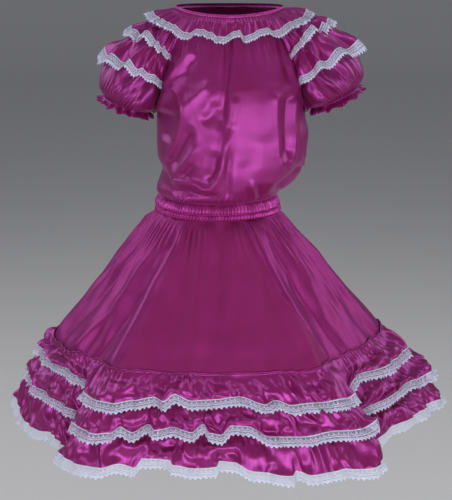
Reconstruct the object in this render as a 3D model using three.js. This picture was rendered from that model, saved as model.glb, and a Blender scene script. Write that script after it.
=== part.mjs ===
// A one-piece square dance dress in satin: a bloused bodice with a wide elastic neck, raglan puff sleeves,
// a two-row elastic waist and a flared skirt with three gathered tiers, every ruffle edged with lace.
// Millimetres, +Z up. The front faces -Y and +X is to the right as seen from the front, so "left" is -X.
// The origin is on the axis of the waist opening, level with the seam between waist casing and skirt.
import * as THREE from 'three';

// ---------------------------------------------------------------- driving dimensions
const CLOTH = 1.2;          // wall of the satin pieces
const LACE = 1.0;           // wall of the lace edgings
const SEAM = 0.3;           // clearance between pieces that are sewn together
const WAIST_TOP = 33;       // upper edge of the waist casing
const UNDERARM = 205;       // height of the underarm point
const NECK = 404;           // height of the neck seam at centre front
const NECK_SIDE_RISE = 10;  // how much higher the neck seam is over the shoulders
const NECK_BACK_RISE = 7;   // and at centre back
const CASING_NECK = 8;      // depth of the elastic casing at the neck
const LACE_SKIRT = 20;      // width of the lace on the skirt
const LACE_SMALL = 15;      // width of the lace on the neck and sleeve ruffles
const FRONT_LIFT = 3;       // the tiers hang this much higher at centre front
const FLUTE_SPREAD = 6;     // degrees by which the front and back flutes open out towards the hem
const LOBE_HEM = 40;        // depth of the flutes at the hem
const HEM_LEVEL = -453;     // height of the lace points at the hem
const TIER_WAVES = 17;      // large waves of a gathered tier, all round
const TIER_COLUMNS = 68;

// Rings of the bodice: height, sideways shift of the centre, half width, half depth in front and behind.
const BODICE = [
  { z: 34, cx: -1, a: 119, front: 97, back: 93 },
  { z: 42, cx: 0, a: 127, front: 120, back: 106 },
  { z: 54, cx: 4, a: 131, front: 133, back: 115 },
  { z: 74, cx: 18, a: 138, front: 141, back: 122 },
  { z: 96, cx: 29, a: 146, front: 143, back: 124 },
  { z: 120, cx: 30, a: 155, front: 142, back: 123 },
  { z: 160, cx: 30, a: 157, front: 141, back: 120 },
  { z: 205, cx: 27, a: 153, front: 139, back: 117 },
  { z: 250, cx: 26, a: 149, front: 130, back: 112 },
  { z: 300, cx: 25, a: 141, front: 113, back: 104 },
  { z: 350, cx: 24, a: 127, front: 96, back: 93 },
  { z: 404, cx: 23, a: 107, front: 78, back: 76 },
];
// Half angle that the front and back panels cover: full at the underarm, less up the raglan seam.
const RAGLAN = [
  { z: 205, edge: 90 }, { z: 222, edge: 79 }, { z: 250, edge: 71 }, { z: 300, edge: 64 }, { z: 350, edge: 58 }, { z: 404, edge: 52 },
];
// Rings of the skirt: height, sideways shift, half width, half depth.
const SKIRT = [
  { z: 0, cx: -2, a: 127, b: 99 },
  { z: -14, cx: -2, a: 141, b: 110 },
  { z: -42, cx: -1, a: 165, b: 130 },
  { z: -88, cx: 0, a: 203, b: 160 },
  { z: -141, cx: 0, a: 240, b: 193 },
  { z: -197, cx: 0, a: 281, b: 230 },
  { z: -235, cx: 0, a: 310, b: 256 },
  { z: -272, cx: 0, a: 337, b: 281 },
  { z: -320, cx: 4, a: 361, b: 299 },
  { z: -376, cx: 9, a: 387, b: 316 },
];
// Angles of the seams between the skirt's panels: front to left and right side, side to back.
const SEAMS = [
  { z: 0, left: -28, right: 24, back: 128 }, { z: -45, left: -33, right: 27, back: 128 },
  { z: -141, left: -40, right: 31, back: 129 }, { z: -272, left: -49, right: 45, back: 130 }, { z: -376, left: -52, right: 50, back: 130 },
];
// Depth of the flutes around the skirt, as a share of their full depth: front lobe with a corner at each
// side, a valley where the panels meet, side lobes and back lobes.
const FLUTES = [
  { at: -180, out: 0.55 }, { at: -160, out: -0.60 }, { at: -141, out: 0.75 }, { at: -118, out: -0.65 },
  { at: -96, out: 0.60 }, { at: -77, out: -0.25 }, { at: -49, out: -0.75 }, { at: -32, out: 0.80 }, { at: -16, out: 0.0 },
  { at: 0, out: -0.22 }, { at: 16, out: 0.0 }, { at: 32, out: 0.95 }, { at: 47, out: -0.80 }, { at: 72, out: -0.35 },
  { at: 97, out: 0.70 }, { at: 119, out: -0.70 }, { at: 143, out: 0.65 }, { at: 162, out: -0.50 },
];
// Tiers of the skirt: the rings of each gathered strip from its seam to its edge, then the edge of its lace.
const TIERS = [
  { name: '1', rows: [
    { z: -269, cx: 0, a: 342, b: 285, wave: 0 }, { z: -288, cx: 4, a: 366, b: 304, wave: 7 },
    { z: -310, cx: 9, a: 379, b: 315, wave: 9 }, { z: -331, cx: 12, a: 387, b: 321, wave: 10 }] },
  { name: '2', rows: [
    { z: -318, cx: 5, a: 367, b: 304.5, wave: 0 }, { z: -346, cx: 14, a: 403, b: 326, wave: 8 },
    { z: -364, cx: 19, a: 419, b: 336, wave: 11 }, { z: -384, cx: 21, a: 428, b: 343, wave: 12 }] },
  { name: '3', rows: [
    { z: -372, cx: 10, a: 391, b: 319, wave: 0 }, { z: -403, cx: 13, a: 427, b: 344, wave: 9 },
    { z: -432, cx: 15, a: 442, b: 354, wave: 12 }, { z: HEM_LEVEL, cx: 15, a: 450, b: 361, wave: 13 }] },
];
// Sleeves: side (-1 left), middle of the elastic at the cuff, its half length outwards with the rise of
// its outer end, its half depth, and how full the puff is.
const SLEEVES = [
  { name: 'left', side: -1, x: -187, z: 224, half: 49, rise: 17, depth: 55, full: 0.95 },
  { name: 'right', side: 1, x: 239, z: 239, half: 50, rise: 23, depth: 56, full: 1.12 },
];
// Fullness of the puff along the sleeve: share of the way from neck to cuff, swell at the top of the arm,
// swell in front and behind.
const PUFF = [
  { v: 0, top: 0, face: 0 }, { v: 0.15, top: 6, face: 7 }, { v: 0.32, top: 19, face: 18 }, { v: 0.52, top: 38, face: 28 },
  { v: 0.76, top: 42, face: 31 }, { v: 0.92, top: 26, face: 20 }, { v: 1, top: 0, face: 0 },
];
const CUFF_FRILL = 12;      // the frill below the elastic
const CUFF_FLARE = 8;       // how far it stands out
// Ruffles over each sleeve, from the front raglan seam over the shoulder to the back one: the seam line and
// the edge, each by its height on the raglan seam and its share down the sleeve at the top of the arm; its
// length, and how far it stands off the sleeve at the seam line, the middle, the edge and its two ends.
const SLEEVE_RUFFLES = [
  { name: 'upper', seamEnd: 368, seamTop: 0.14, edgeEnd: 322, edgeTop: 0.50, length: 68, lift: 6.6, middle: 9.6, out: 14, ends: 7.5 },
  { name: 'lower', seamEnd: 334, seamTop: 0.43, edgeEnd: 262, edgeTop: 0.74, length: 66, lift: 6.2, middle: 9.0, out: 15, ends: 4.5 },
];
// Neck ruffle: length of its satin how much longer it reaches over the shoulders, and the
// slope of its fall, in front, over the shoulders and behind.
const NECK_RUFFLE = { satin: 31, longer: 0.35, front: 66, side: 5, back: 62, lift: 3.0, wave: 5 };
const NECK_WAVES = 12;
const NECK_COLUMNS = 36;

const SATIN = 0x7a2258;
const SATIN_DULL = 0x74214f;
const WHITE = 0xdfe0ee;

// ---------------------------------------------------------------- small maths
const RAD = Math.PI / 180;
const clamp = (x, lo, hi) => Math.min(hi, Math.max(lo, x));
const mix = (a, b, t) => a + (b - a) * t;

// Smooth curve through the rows of a table, by one column against another.
function curve(rows, key, col, x) {
  const up = rows[rows.length - 1][key] > rows[0][key];
  const at = (i) => rows[clamp(i, 0, rows.length - 1)];
  let i = 0;
  while (i < rows.length - 2 && (up ? x > at(i + 1)[key] : x < at(i + 1)[key])) i++;
  const x0 = at(i)[key], x1 = at(i + 1)[key];
  const t = clamp((x - x0) / (x1 - x0), 0, 1);
  const slope = (j) => {
    const p = at(j - 1), q = at(j + 1), m = at(j);
    if (j <= 0 || j >= rows.length - 1) return (q[col] - p[col]) / (q[key] - p[key]);
    const s0 = (m[col] - p[col]) / (m[key] - p[key]), s1 = (q[col] - m[col]) / (q[key] - m[key]);
    return s0 * s1 <= 0 ? 0 : 2 * s0 * s1 / (s0 + s1);
  };
  const h = x1 - x0, m0 = slope(i) * h, m1 = slope(i + 1) * h;
  const t2 = t * t, t3 = t2 * t;
  return (2 * t3 - 3 * t2 + 1) * at(i)[col] + (t3 - 2 * t2 + t) * m0 + (3 * t2 - 2 * t3) * at(i + 1)[col] + (t3 - t2) * m1;
}

// Flute depth at an angle in degrees, smooth and periodic.
function flute(deg) {
  const d = ((deg + 180) % 360 + 360) % 360 - 180;
  const n = FLUTES.length;
  let i = n - 1;
  for (let k = 0; k < n; k++) if (FLUTES[k].at <= d) i = k;
  const p = FLUTES[i], q = FLUTES[(i + 1) % n];
  const span = (q.at - p.at + 360) % 360;
  const t = (d - p.at) / span;
  const s = t * t * (3 - 2 * t);
  return mix(p.out, q.out, s);
}
const flutesAt = (deg, z) => flute(deg - FLUTE_SPREAD * clamp((z + 272) / (HEM_LEVEL + 272), 0, 1) * Math.sin(2 * deg * RAD));
const lobeDepth = (z) => LOBE_HEM * Math.pow(clamp(-z / -HEM_LEVEL, 0, 1.1), 1.3);
const lift = (deg, z) => FRONT_LIFT * Math.pow(Math.max(0, Math.cos(deg * RAD)), 1.5) * clamp(z / -272, 0, 1);

// A point on an elliptical, fluted ring; grow moves it outwards.
function ring(deg, z, cx, a, b, grow = 0) {
  const l = lobeDepth(z) * flutesAt(deg, z) + grow;
  return new THREE.Vector3(cx + (a + l) * Math.sin(deg * RAD), -(b + l) * Math.cos(deg * RAD), z + lift(deg, z));
}
function skirtPoint(deg, z, grow = 0) {
  return ring(deg, z, curve(SKIRT, 'z', 'cx', z), curve(SKIRT, 'z', 'a', z), curve(SKIRT, 'z', 'b', z), grow);
}
const neckRise = (deg) => {
  const c = Math.cos(deg * RAD), s = Math.sin(deg * RAD);
  return NECK_SIDE_RISE * s * s + (c < 0 ? NECK_BACK_RISE * c * c : 0);
};
// A point of the bodice; heights near the neck follow the rise of the neck seam.
function bodicePoint(deg, z) {
  const cx = curve(BODICE, 'z', 'cx', z), a = curve(BODICE, 'z', 'a', z);
  const b = curve(BODICE, 'z', Math.cos(deg * RAD) >= 0 ? 'front' : 'back', z);
  const rise = neckRise(deg) * clamp((z - 300) / (NECK - 300), 0, 1);
  return new THREE.Vector3(cx + a * Math.sin(deg * RAD), -b * Math.cos(deg * RAD), z + rise);
}
const raglanEdge = (z) => (z <= UNDERARM ? 90 : curve(RAGLAN, 'z', 'edge', z));

// ---------------------------------------------------------------- cloth walls
// A wall of even thickness under a grid of points, rows by columns, closed on itself along the columns or
// not. The grid is the outer face, so its normals (row direction x column direction) point out. Two pieces
// that meet at a seam share the normals there, so the gap between them is even through the cloth.
function normalsOf(grid, closed) {
  const rows = grid.length, cols = grid[0].length;
  const at = (i, j) => grid[i][closed ? (j + cols) % cols : clamp(j, 0, cols - 1)];
  return grid.map((line, i) => line.map((p, j) => {
    const du = at(i, j + 1).clone().sub(at(i, j - 1));
    const dv = grid[Math.min(i + 1, rows - 1)][j].clone().sub(grid[Math.max(i - 1, 0)][j]);
    return new THREE.Vector3().crossVectors(dv, du).normalize();
  }));
}
function wall(grid, thick, closed, normals = normalsOf(grid, closed)) {
  const rows = grid.length, cols = grid[0].length;
  const inner = grid.map((line, i) => line.map((p, j) => p.clone().addScaledVector(normals[i][j], -thick)));
  const pos = [], index = [];
  for (const g of [grid, inner]) for (const line of g) for (const p of line) pos.push(p.x, p.y, p.z);
  const id = (face, i, j) => face * rows * cols + i * cols + (closed ? (j + cols) % cols : j);
  const quad = (a, b, c, d) => index.push(a, b, c, a, c, d);
  const last = closed ? cols : cols - 1;
  for (let i = 0; i < rows - 1; i++) for (let j = 0; j < last; j++) {
    quad(id(0, i, j), id(0, i + 1, j), id(0, i + 1, j + 1), id(0, i, j + 1));
    quad(id(1, i, j), id(1, i, j + 1), id(1, i + 1, j + 1), id(1, i + 1, j));
  }
  for (let j = 0; j < last; j++) {
    quad(id(0, 0, j), id(0, 0, j + 1), id(1, 0, j + 1), id(1, 0, j));
    quad(id(0, rows - 1, j), id(1, rows - 1, j), id(1, rows - 1, j + 1), id(0, rows - 1, j + 1));
  }
  if (!closed) for (let i = 0; i < rows - 1; i++) {
    quad(id(0, i, 0), id(1, i, 0), id(1, i + 1, 0), id(0, i + 1, 0));
    quad(id(0, i, cols - 1), id(0, i + 1, cols - 1), id(1, i + 1, cols - 1), id(1, i, cols - 1));
  }
  const geo = new THREE.BufferGeometry();
  geo.setAttribute('position', new THREE.Float32BufferAttribute(pos, 3));
  geo.setIndex(index);
  return geo;
}
const span = (n, lo, hi) => Array.from({ length: n + 1 }, (_, i) => mix(lo, hi, i / n));
const around = (n) => Array.from({ length: n }, (_, i) => -180 + 360 * i / n);

const dress = new THREE.Group();
function add(name, geometry, color, roughness) {
  geometry.computeVertexNormals();
  const mesh = new THREE.Mesh(geometry, new THREE.MeshStandardMaterial({ color, roughness, metalness: 0 }));
  mesh.name = name;
  dress.add(mesh);
}

// ---------------------------------------------------------------- bodice
const SEAM_ROWS = [UNDERARM, 216, 236, 268, 305, 350, NECK]; // stations of the raglan seam
const BODY_ROWS = [34.4, 44, 60, 96, 135, 175, ...SEAM_ROWS.slice(0, -1), NECK - SEAM];
function bodicePanel(from, sign, cols) {
  return BODY_ROWS.slice().reverse().map((z) => {
    const edge = raglanEdge(z) - SEAM / 150 / RAD;
    return span(cols, -edge, edge).map((d) => bodicePoint(from + sign * d, z));
  });
}
add('bodice_front', wall(bodicePanel(0, 1, 14), CLOTH, false), SATIN, 0.32);
add('bodice_back', wall(bodicePanel(180, 1, 10), CLOTH, false), SATIN, 0.32);

// ---------------------------------------------------------------- neck casing, ruffle and lace
const neckPoint = (deg, up, grow) => bodicePoint(deg, NECK).add(
  new THREE.Vector3(Math.sin(deg * RAD) * grow, -Math.cos(deg * RAD) * grow, up));
add('neck_casing', wall([CASING_NECK, SEAM].map((up) => around(24).map((d) => neckPoint(d, up, 0.6 * (1 - up / CASING_NECK)))), CLOTH, true), SATIN, 0.35);

function neckFall(deg, share) {
  const s = Math.abs(Math.sin(deg * RAD)), c = Math.cos(deg * RAD);
  const along = share * (1 + NECK_RUFFLE.longer * s * s);
  const steep = c >= 0 ? NECK_RUFFLE.front : NECK_RUFFLE.back;
  const slope = mix(steep, NECK_RUFFLE.side, Math.pow(s, 2.2)) + 9 * s * s * along / 50;
  const wave = NECK_RUFFLE.wave * (0.5 - 0.5 * Math.cos(NECK_WAVES * deg * RAD)) * clamp(along / 30, 0, 1);
  const out = NECK_RUFFLE.lift + along * Math.cos(slope * RAD) + wave * Math.sin(slope * RAD);
  return neckPoint(deg, -along * Math.sin(slope * RAD) + wave * Math.cos(slope * RAD) + 1.5 * s, out);
}
// A ruffle and the lace at its edge, from lines at its seam, its middle, its edge and the lace's edge.
function edged(ruffle, lace, lines, closed) {
  const n = normalsOf([lines[0], lines[1], lines[2], lines[4]], closed);
  add(ruffle, wall(lines.slice(0, 3), CLOTH, closed, n.slice(0, 3)), SATIN, 0.32);
  add(lace, wall(lines.slice(3), LACE, closed, n.slice(2)), WHITE, 0.85);
}
const neckEnd = NECK_RUFFLE.satin;
edged('neck_ruffle', 'neck_lace', [0, neckEnd * 0.5, neckEnd, neckEnd + SEAM, neckEnd + LACE_SMALL].map((s) => around(NECK_COLUMNS).map((d) => neckFall(d, s))), true);

// ---------------------------------------------------------------- sleeves
// The sleeve's upper ring: the side of the neck, then the raglan seam down to the underarm. u runs from the
// top of the shoulder (0) over the front (0.25) to the underarm (0.5) and back up behind (1).
const NECK_PART = 0.12;
function sleeveTop(side, u) {
  const f = u <= 0.5 ? u : 1 - u;
  const behind = u > 0.5;
  const turn = (deg) => side * (behind ? 180 - deg : deg);
  if (f <= NECK_PART) return bodicePoint(turn(mix(90, curve(RAGLAN, 'z', 'edge', NECK), f / NECK_PART)), NECK);
  const z = mix(NECK, UNDERARM, (f - NECK_PART) / (0.5 - NECK_PART));
  return bodicePoint(turn(raglanEdge(z)), z);
}
function cuffPoint(s, u, drop = 0, flare = 0) {
  const tilt = Math.atan2(s.rise, s.half), psi = u * 2 * Math.PI;
  const r = s.half + flare, d = s.depth + flare;
  const outward = new THREE.Vector3(s.side * Math.cos(tilt), 0, Math.sin(tilt));
  const down = new THREE.Vector3(s.side * Math.sin(tilt), 0, -Math.cos(tilt));
  return new THREE.Vector3(s.x, 0, s.z).addScaledVector(outward, r * Math.cos(psi)).addScaledVector(down, drop)
    .add(new THREE.Vector3(0, -d * Math.sin(psi), 0));
}
function sleevePoint(s, u, v) {
  const p0 = sleeveTop(s.side, u), p1 = cuffPoint(s, u);
  const axis0 = new THREE.Vector3(p0.x, 0, 0);
  axis0.set(mix(sleeveTop(s.side, 0).x, sleeveTop(s.side, 0.5).x, 0.6), 0, mix(UNDERARM, NECK, 0.5));
  const axis = axis0.lerp(new THREE.Vector3(s.x, 0, s.z), v);
  const p = p0.clone().lerp(p1, v);
  const c = Math.cos(u * 2 * Math.PI);
  const top = curve(PUFF, 'v', 'top', v), face = curve(PUFF, 'v', 'face', v);
  const swell = c >= 0 ? mix(face, top, c * c) : mix(face, face * 0.12, c * c);
  return p.addScaledVector(p.clone().sub(axis).normalize(), swell * mix(1, s.full, Math.max(0, c)));
}
// Share down the sleeve of a line that leaves the raglan seam at u = end and passes the shoulder at top.
const lineShare = (u, end, top) => top * Math.pow(clamp(1 - Math.pow(u / end, 2), 0, 1), 0.8);
const seamShareOf = (z) => NECK_PART + (0.5 - NECK_PART) * (NECK - z) / (NECK - UNDERARM);

const SLEEVE_U = [0, NECK_PART / 2, ...SEAM_ROWS.slice().reverse().map(seamShareOf)];
const SLEEVE_COLUMNS = [...SLEEVE_U, ...SLEEVE_U.slice(1, -1).reverse().map((u) => 1 - u)];
for (const s of SLEEVES) {
  const cols = s.side < 0 ? SLEEVE_COLUMNS.slice().reverse() : SLEEVE_COLUMNS;
  const body = [0, 0.16, 0.34, 0.52, 0.7, 0.88, 1].map((v) => cols.map((u) => {
    const p = sleevePoint(s, u, v);
    if (v > 0) return p;
    const f = Math.min(u, 1 - u);
    const low = Math.max(0, (f - 0.45) / 0.05);
    return p.add(new THREE.Vector3(s.side * SEAM * (f < NECK_PART ? 0 : 2), 0, f < NECK_PART ? -2 * SEAM : 3 * SEAM * low));
  }));
  body.push(cols.map((u) => cuffPoint(s, u, 4, 0.6)));
  body.push(cols.map((u) => cuffPoint(s, u, CUFF_FRILL, CUFF_FLARE)));
  const n = normalsOf(body, true);
  n[0] = body[0].map((p) => new THREE.Vector3((p.x - 26) / 150, p.y / 110, 0).normalize().add(new THREE.Vector3(-0.6 * s.side, 0, 0)));
  add(`sleeve_${s.name}`, wall(body, CLOTH, true, n), SATIN, 0.32);

  for (const r of SLEEVE_RUFFLES) {
    const surface = (u, end, top, off) => {
      const v = lineShare(Math.abs(u), end, top);
      const U = (u + 1) % 1, e = 0.01;
      const p = sleevePoint(s, U, v);
      const du = sleevePoint(s, (u + e + 1) % 1, v).sub(sleevePoint(s, (u - e + 1) % 1, v));
      const dv = sleevePoint(s, U, v + 0.02).sub(sleevePoint(s, U, Math.max(0, v - 0.02)));
      const n = new THREE.Vector3().crossVectors(du, dv).normalize().multiplyScalar(s.side);
      return p.addScaledVector(n, off);
    };
    const line = (share, off) => {
      const end = mix(seamShareOf(r.seamEnd), seamShareOf(r.edgeEnd), share) - 0.012;
      const top = mix(r.seamTop, r.edgeTop, share);
      const list = span(12, -end, end).map((u, j) => {
        const near = Math.pow(Math.abs(u / end), 6);
        return surface(u * 0.96, end, top, mix(off + (j % 4 === 2 ? 0.8 : 0), r.ends, near));
      });
      return s.side < 0 ? list : list.reverse();
    };
    edged(`sleeve_ruffle_${r.name}_${s.name}`, `sleeve_lace_${r.name}_${s.name}`,
      [line(0, r.lift), line(0.5, r.middle), line(1, r.out), line(1 + SEAM / r.length, r.out), line(1 + LACE_SMALL / r.length, r.out + 1.5)], false);
  }
}

// ---------------------------------------------------------------- waist casing, in two elastic rows
const waistRing = (z, a, b) => around(36).map((d) => new THREE.Vector3(-1.5 + a * Math.sin(d * RAD), -b * Math.cos(d * RAD), z));
add('waist_casing', wall([waistRing(WAIST_TOP, 119, 95), waistRing(18, 124.5, 99.5), waistRing(SEAM, 127, 99)], CLOTH, true), SATIN, 0.35);

// ---------------------------------------------------------------- skirt panels
const SKIRT_ROWS = [0, -42, -141, -272, -376];
function skirtPanel(name, from, to, cols, color) {
  const angles = SKIRT_ROWS.map((z) => {
    const gap = SEAM / 2 / Math.max(110, -z) / RAD;
    return span(cols, from(z) + gap, to(z) - gap);
  });
  const normals = angles.map((line, i) => line.map((d) => {
    const z = clamp(SKIRT_ROWS[i], -375, -1);
    const across = skirtPoint(d + 1, z).sub(skirtPoint(d - 1, z)), down = skirtPoint(d, z - 1).sub(skirtPoint(d, z + 1));
    return new THREE.Vector3().crossVectors(down, across).normalize();
  }));
  add(name, wall(angles.map((line, i) => line.map((d) => skirtPoint(d, SKIRT_ROWS[i]))), CLOTH, false, normals), color, 0.36);
}
const seamAt = (col, turn = 1) => (z) => turn * curve(SEAMS, 'z', col, z);
const behind = (z) => 360 - curve(SEAMS, 'z', 'back', z);
skirtPanel('skirt_front', seamAt('left'), seamAt('right'), 14, SATIN_DULL);
skirtPanel('skirt_right', seamAt('right'), seamAt('back'), 12, SATIN);
skirtPanel('skirt_back', seamAt('back'), behind, 12, SATIN_DULL);
skirtPanel('skirt_left', seamAt('back', -1), seamAt('left'), 12, SATIN);

// ---------------------------------------------------------------- gathered tiers and their lace
for (const tier of TIERS) {
  const line = (r, up = 0) => around(TIER_COLUMNS).map((d) => {
    const wave = 0.5 - 0.5 * Math.cos(TIER_WAVES * (d + 4) * RAD);
    const p = ring(d, r.z, r.cx, r.a, r.b, r.wave * wave);
    p.z += up + (1 - wave) * r.wave * 0.5;
    return p;
  });
  const [seam, middle, edge, points] = tier.rows;
  edged(`tier_${tier.name}`, `tier_lace_${tier.name}`, [line(seam), line(middle), line(edge, SEAM), line(edge), line(points)], true);
}

export default dress;
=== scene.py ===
import math

import bpy
import numpy as np
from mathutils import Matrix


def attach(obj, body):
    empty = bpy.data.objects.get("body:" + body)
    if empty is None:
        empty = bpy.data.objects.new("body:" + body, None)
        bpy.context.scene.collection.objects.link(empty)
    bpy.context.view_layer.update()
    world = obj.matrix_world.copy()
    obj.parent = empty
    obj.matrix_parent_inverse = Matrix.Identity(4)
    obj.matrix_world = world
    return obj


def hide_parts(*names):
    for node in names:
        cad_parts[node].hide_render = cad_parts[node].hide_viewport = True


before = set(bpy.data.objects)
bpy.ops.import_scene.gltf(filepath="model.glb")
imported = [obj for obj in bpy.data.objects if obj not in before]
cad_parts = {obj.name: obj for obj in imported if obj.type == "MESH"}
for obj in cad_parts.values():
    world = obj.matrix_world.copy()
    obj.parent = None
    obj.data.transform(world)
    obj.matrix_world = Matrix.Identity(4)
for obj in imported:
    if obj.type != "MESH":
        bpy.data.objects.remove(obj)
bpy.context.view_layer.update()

# ---------------------------------------------------------------- sizes, in millimetres, as in the model's frame
def table(names, *rows):
    """Columns by name, from rows of numbers."""
    return {n: np.array([r[i] for r in rows], float) for i, n in enumerate(names.split())}


NECK, UNDERARM, WAIST_TOP, HEM_LEVEL = 404.0, 205.0, 33.0, -453.0
NECK_SIDE_RISE, NECK_BACK_RISE, CASING_NECK = 10.0, 7.0, 8.0
FRONT_LIFT, FLUTE_SPREAD, LOBE_HEM = 3.0, 6.0, 40.0
LACE_SKIRT, LACE_SMALL = 20.0, 15.0
RAD = math.pi / 180

BODICE = table(
    "z cx a front back",
    (34, -1, 119, 97, 93), (42, 0, 127, 120, 106), (54, 4, 131, 133, 115), (74, 18, 138, 141, 122), (96, 29, 146, 143, 124),
    (120, 30, 155, 142, 123), (160, 30, 157, 141, 120), (205, 27, 153, 139, 117), (250, 26, 149, 130, 112),
    (300, 25, 141, 113, 104), (350, 24, 127, 96, 93), (404, 23, 107, 78, 76),
)
RAGLAN = table("z edge", (205, 90), (222, 79), (250, 71), (300, 64), (350, 58), (404, 52))
SKIRT = table(
    "z cx a b",
    (0, -2, 127, 99), (-14, -2, 141, 110), (-42, -1, 165, 130), (-88, 0, 203, 160), (-141, 0, 240, 193), (-197, 0, 281, 230),
    (-235, 0, 310, 256), (-272, 0, 337, 281), (-320, 4, 361, 299), (-376, 9, 387, 316),
)
SEAMS = table("z left right back", (0, -28, 24, 128), (-45, -33, 27, 128), (-141, -40, 31, 129), (-272, -49, 45, 130), (-376, -52, 50, 130))
FLUTES = table(
    "at out",
    (-180, 0.55), (-160, -0.60), (-141, 0.75), (-118, -0.65), (-96, 0.60), (-77, -0.25), (-49, -0.75), (-32, 0.80), (-16, 0.0),
    (0, -0.22), (16, 0.0), (32, 0.95), (47, -0.80), (72, -0.35), (97, 0.70), (119, -0.70), (143, 0.65), (162, -0.50), (180, 0.55),
)
TIERS = {
    1: table("t z cx a b wave", (0, -269, 0, 342, 285, 0), (0.45, -288, 4, 366, 304, 7), (1, -310, 9, 379, 315, 9), (1.42, -331, 12, 387, 321, 10)),
    2: table("t z cx a b wave", (0, -318, 5, 367, 304.5, 0), (0.48, -346, 14, 403, 326, 8), (1, -364, 19, 419, 336, 11), (1.36, -384, 21, 428, 343, 12)),
    3: table("t z cx a b wave", (0, -372, 10, 391, 319, 0), (0.5, -403, 13, 427, 344, 9), (1, -432, 15, 442, 354, 12), (1.31, -453, 15, 450, 361, 13)),
}
SLEEVES = {
    "left": dict(side=-1, x=-187.0, z=224.0, half=49.0, rise=17.0, depth=55.0, full=0.95),
    "right": dict(side=1, x=239.0, z=239.0, half=50.0, rise=23.0, depth=56.0, full=1.12),
}
PUFF = table("v top face", (0, 0, 0), (0.15, 6, 7), (0.32, 19, 18), (0.52, 38, 28), (0.76, 42, 31), (0.92, 26, 20), (1, 0, 0))
CUFF_FRILL, CUFF_FLARE, NECK_PART = 12.0, 8.0, 0.12
SLEEVE_RUFFLES = {
    "upper": dict(seamEnd=368.0, seamTop=0.14, edgeEnd=322.0, edgeTop=0.50, length=68.0, lift=6.6, middle=9.6, out=14.0, ends=7.5),
    "lower": dict(seamEnd=334.0, seamTop=0.43, edgeEnd=262.0, edgeTop=0.74, length=66.0, lift=6.2, middle=9.0, out=15.0, ends=4.5),
}
NECK_SATIN, NECK_LONGER, NECK_FRONT, NECK_SIDE, NECK_BACK, NECK_LIFT = 31.0, 0.35, 66.0, 5.0, 62.0, 3.0


# ---------------------------------------------------------------- small maths
def curve(T, key, col, x):
    """Smooth curve through the rows of a table, by one column against another, without overshoot."""
    X, Y = T[key], T[col]
    if X[-1] < X[0]:
        X, Y = X[::-1], Y[::-1]
    x = np.clip(x, X[0], X[-1])
    i = np.clip(np.searchsorted(X, x, side="right") - 1, 0, len(X) - 2)
    h, m = np.diff(X), np.zeros(len(X))
    s = np.diff(Y) / h
    m[0], m[-1] = s[0], s[-1]
    same = s[:-1] * s[1:] > 0
    m[1:-1] = np.where(same, 2 * s[:-1] * s[1:] / np.where(same, s[:-1] + s[1:], 1), 0)
    t = (x - X[i]) / h[i]
    t2, t3 = t * t, t * t * t
    return (2 * t3 - 3 * t2 + 1) * Y[i] + (t3 - 2 * t2 + t) * m[i] * h[i] + (3 * t2 - 2 * t3) * Y[i + 1] + (t3 - t2) * m[i + 1] * h[i]


def smooth(x, lo=0.0, hi=1.0):
    t = np.clip((x - lo) / (hi - lo), 0, 1)
    return t * t * (3 - 2 * t)


def mix(a, b, t):
    return a + (b - a) * t


def flute(deg):
    d = (deg + 180) % 360 - 180
    A, O = FLUTES["at"], FLUTES["out"]
    i = np.clip(np.searchsorted(A, d, side="right") - 1, 0, len(A) - 2)
    return mix(O[i], O[i + 1], smooth((d - A[i]) / (A[i + 1] - A[i])))


def ring(deg, z, cx, a, b, grow=0.0):
    share = np.clip((z + 272) / (HEM_LEVEL + 272), 0, 1)
    depth = LOBE_HEM * np.clip(z / HEM_LEVEL, 0, 1.1) ** 1.3
    l = depth * flute(deg - FLUTE_SPREAD * share * np.sin(2 * deg * RAD)) + grow
    lift = FRONT_LIFT * np.maximum(0, np.cos(deg * RAD)) ** 1.5 * np.clip(z / -272, 0, 1)
    return np.stack(np.broadcast_arrays(cx + (a + l) * np.sin(deg * RAD), -(b + l) * np.cos(deg * RAD), z + lift), -1)


def skirt_base(deg, z, grow=0.0):
    return ring(deg, z, curve(SKIRT, "z", "cx", z), curve(SKIRT, "z", "a", z), curve(SKIRT, "z", "b", z), grow)


def tier_base(k, deg, t):
    T = TIERS[k]
    z, cx, a, b = (curve(T, "t", c, t) for c in ("z", "cx", "a", "b"))
    return ring(deg, z, cx, a, b)


def neck_rise(deg):
    c, s = np.cos(deg * RAD), np.sin(deg * RAD)
    return NECK_SIDE_RISE * s * s + np.where(c < 0, NECK_BACK_RISE * c * c, 0)


def bodice_base(deg, z):
    cx, a = curve(BODICE, "z", "cx", z), curve(BODICE, "z", "a", z)
    b = np.where(np.cos(deg * RAD) >= 0, curve(BODICE, "z", "front", z), curve(BODICE, "z", "back", z))
    rise = neck_rise(deg) * np.clip((z - 300) / (NECK - 300), 0, 1)
    return np.stack(np.broadcast_arrays(cx + a * np.sin(deg * RAD), -b * np.cos(deg * RAD), z + rise), -1)


def raglan_edge(z):
    return np.where(z <= UNDERARM, 90.0, curve(RAGLAN, "z", "edge", z))


def neck_point(deg, up, grow):
    p = bodice_base(deg, np.full_like(deg, NECK))
    s, c = np.sin(deg * RAD), np.cos(deg * RAD)
    return p + np.stack(np.broadcast_arrays(s * grow, -c * grow, up), -1)


def neck_base(deg, share):
    """share is the length along the neck ruffle at centre front."""
    s, c = np.abs(np.sin(deg * RAD)), np.cos(deg * RAD)
    along = share * (1 + NECK_LONGER * s * s)
    steep = np.where(c >= 0, NECK_FRONT, NECK_BACK)
    slope = (mix(steep, NECK_SIDE, s**2.2) + 9 * s * s * along / 50) * RAD
    return neck_point(deg, -along * np.sin(slope) + 1.5 * s, NECK_LIFT + along * np.cos(slope))


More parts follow.
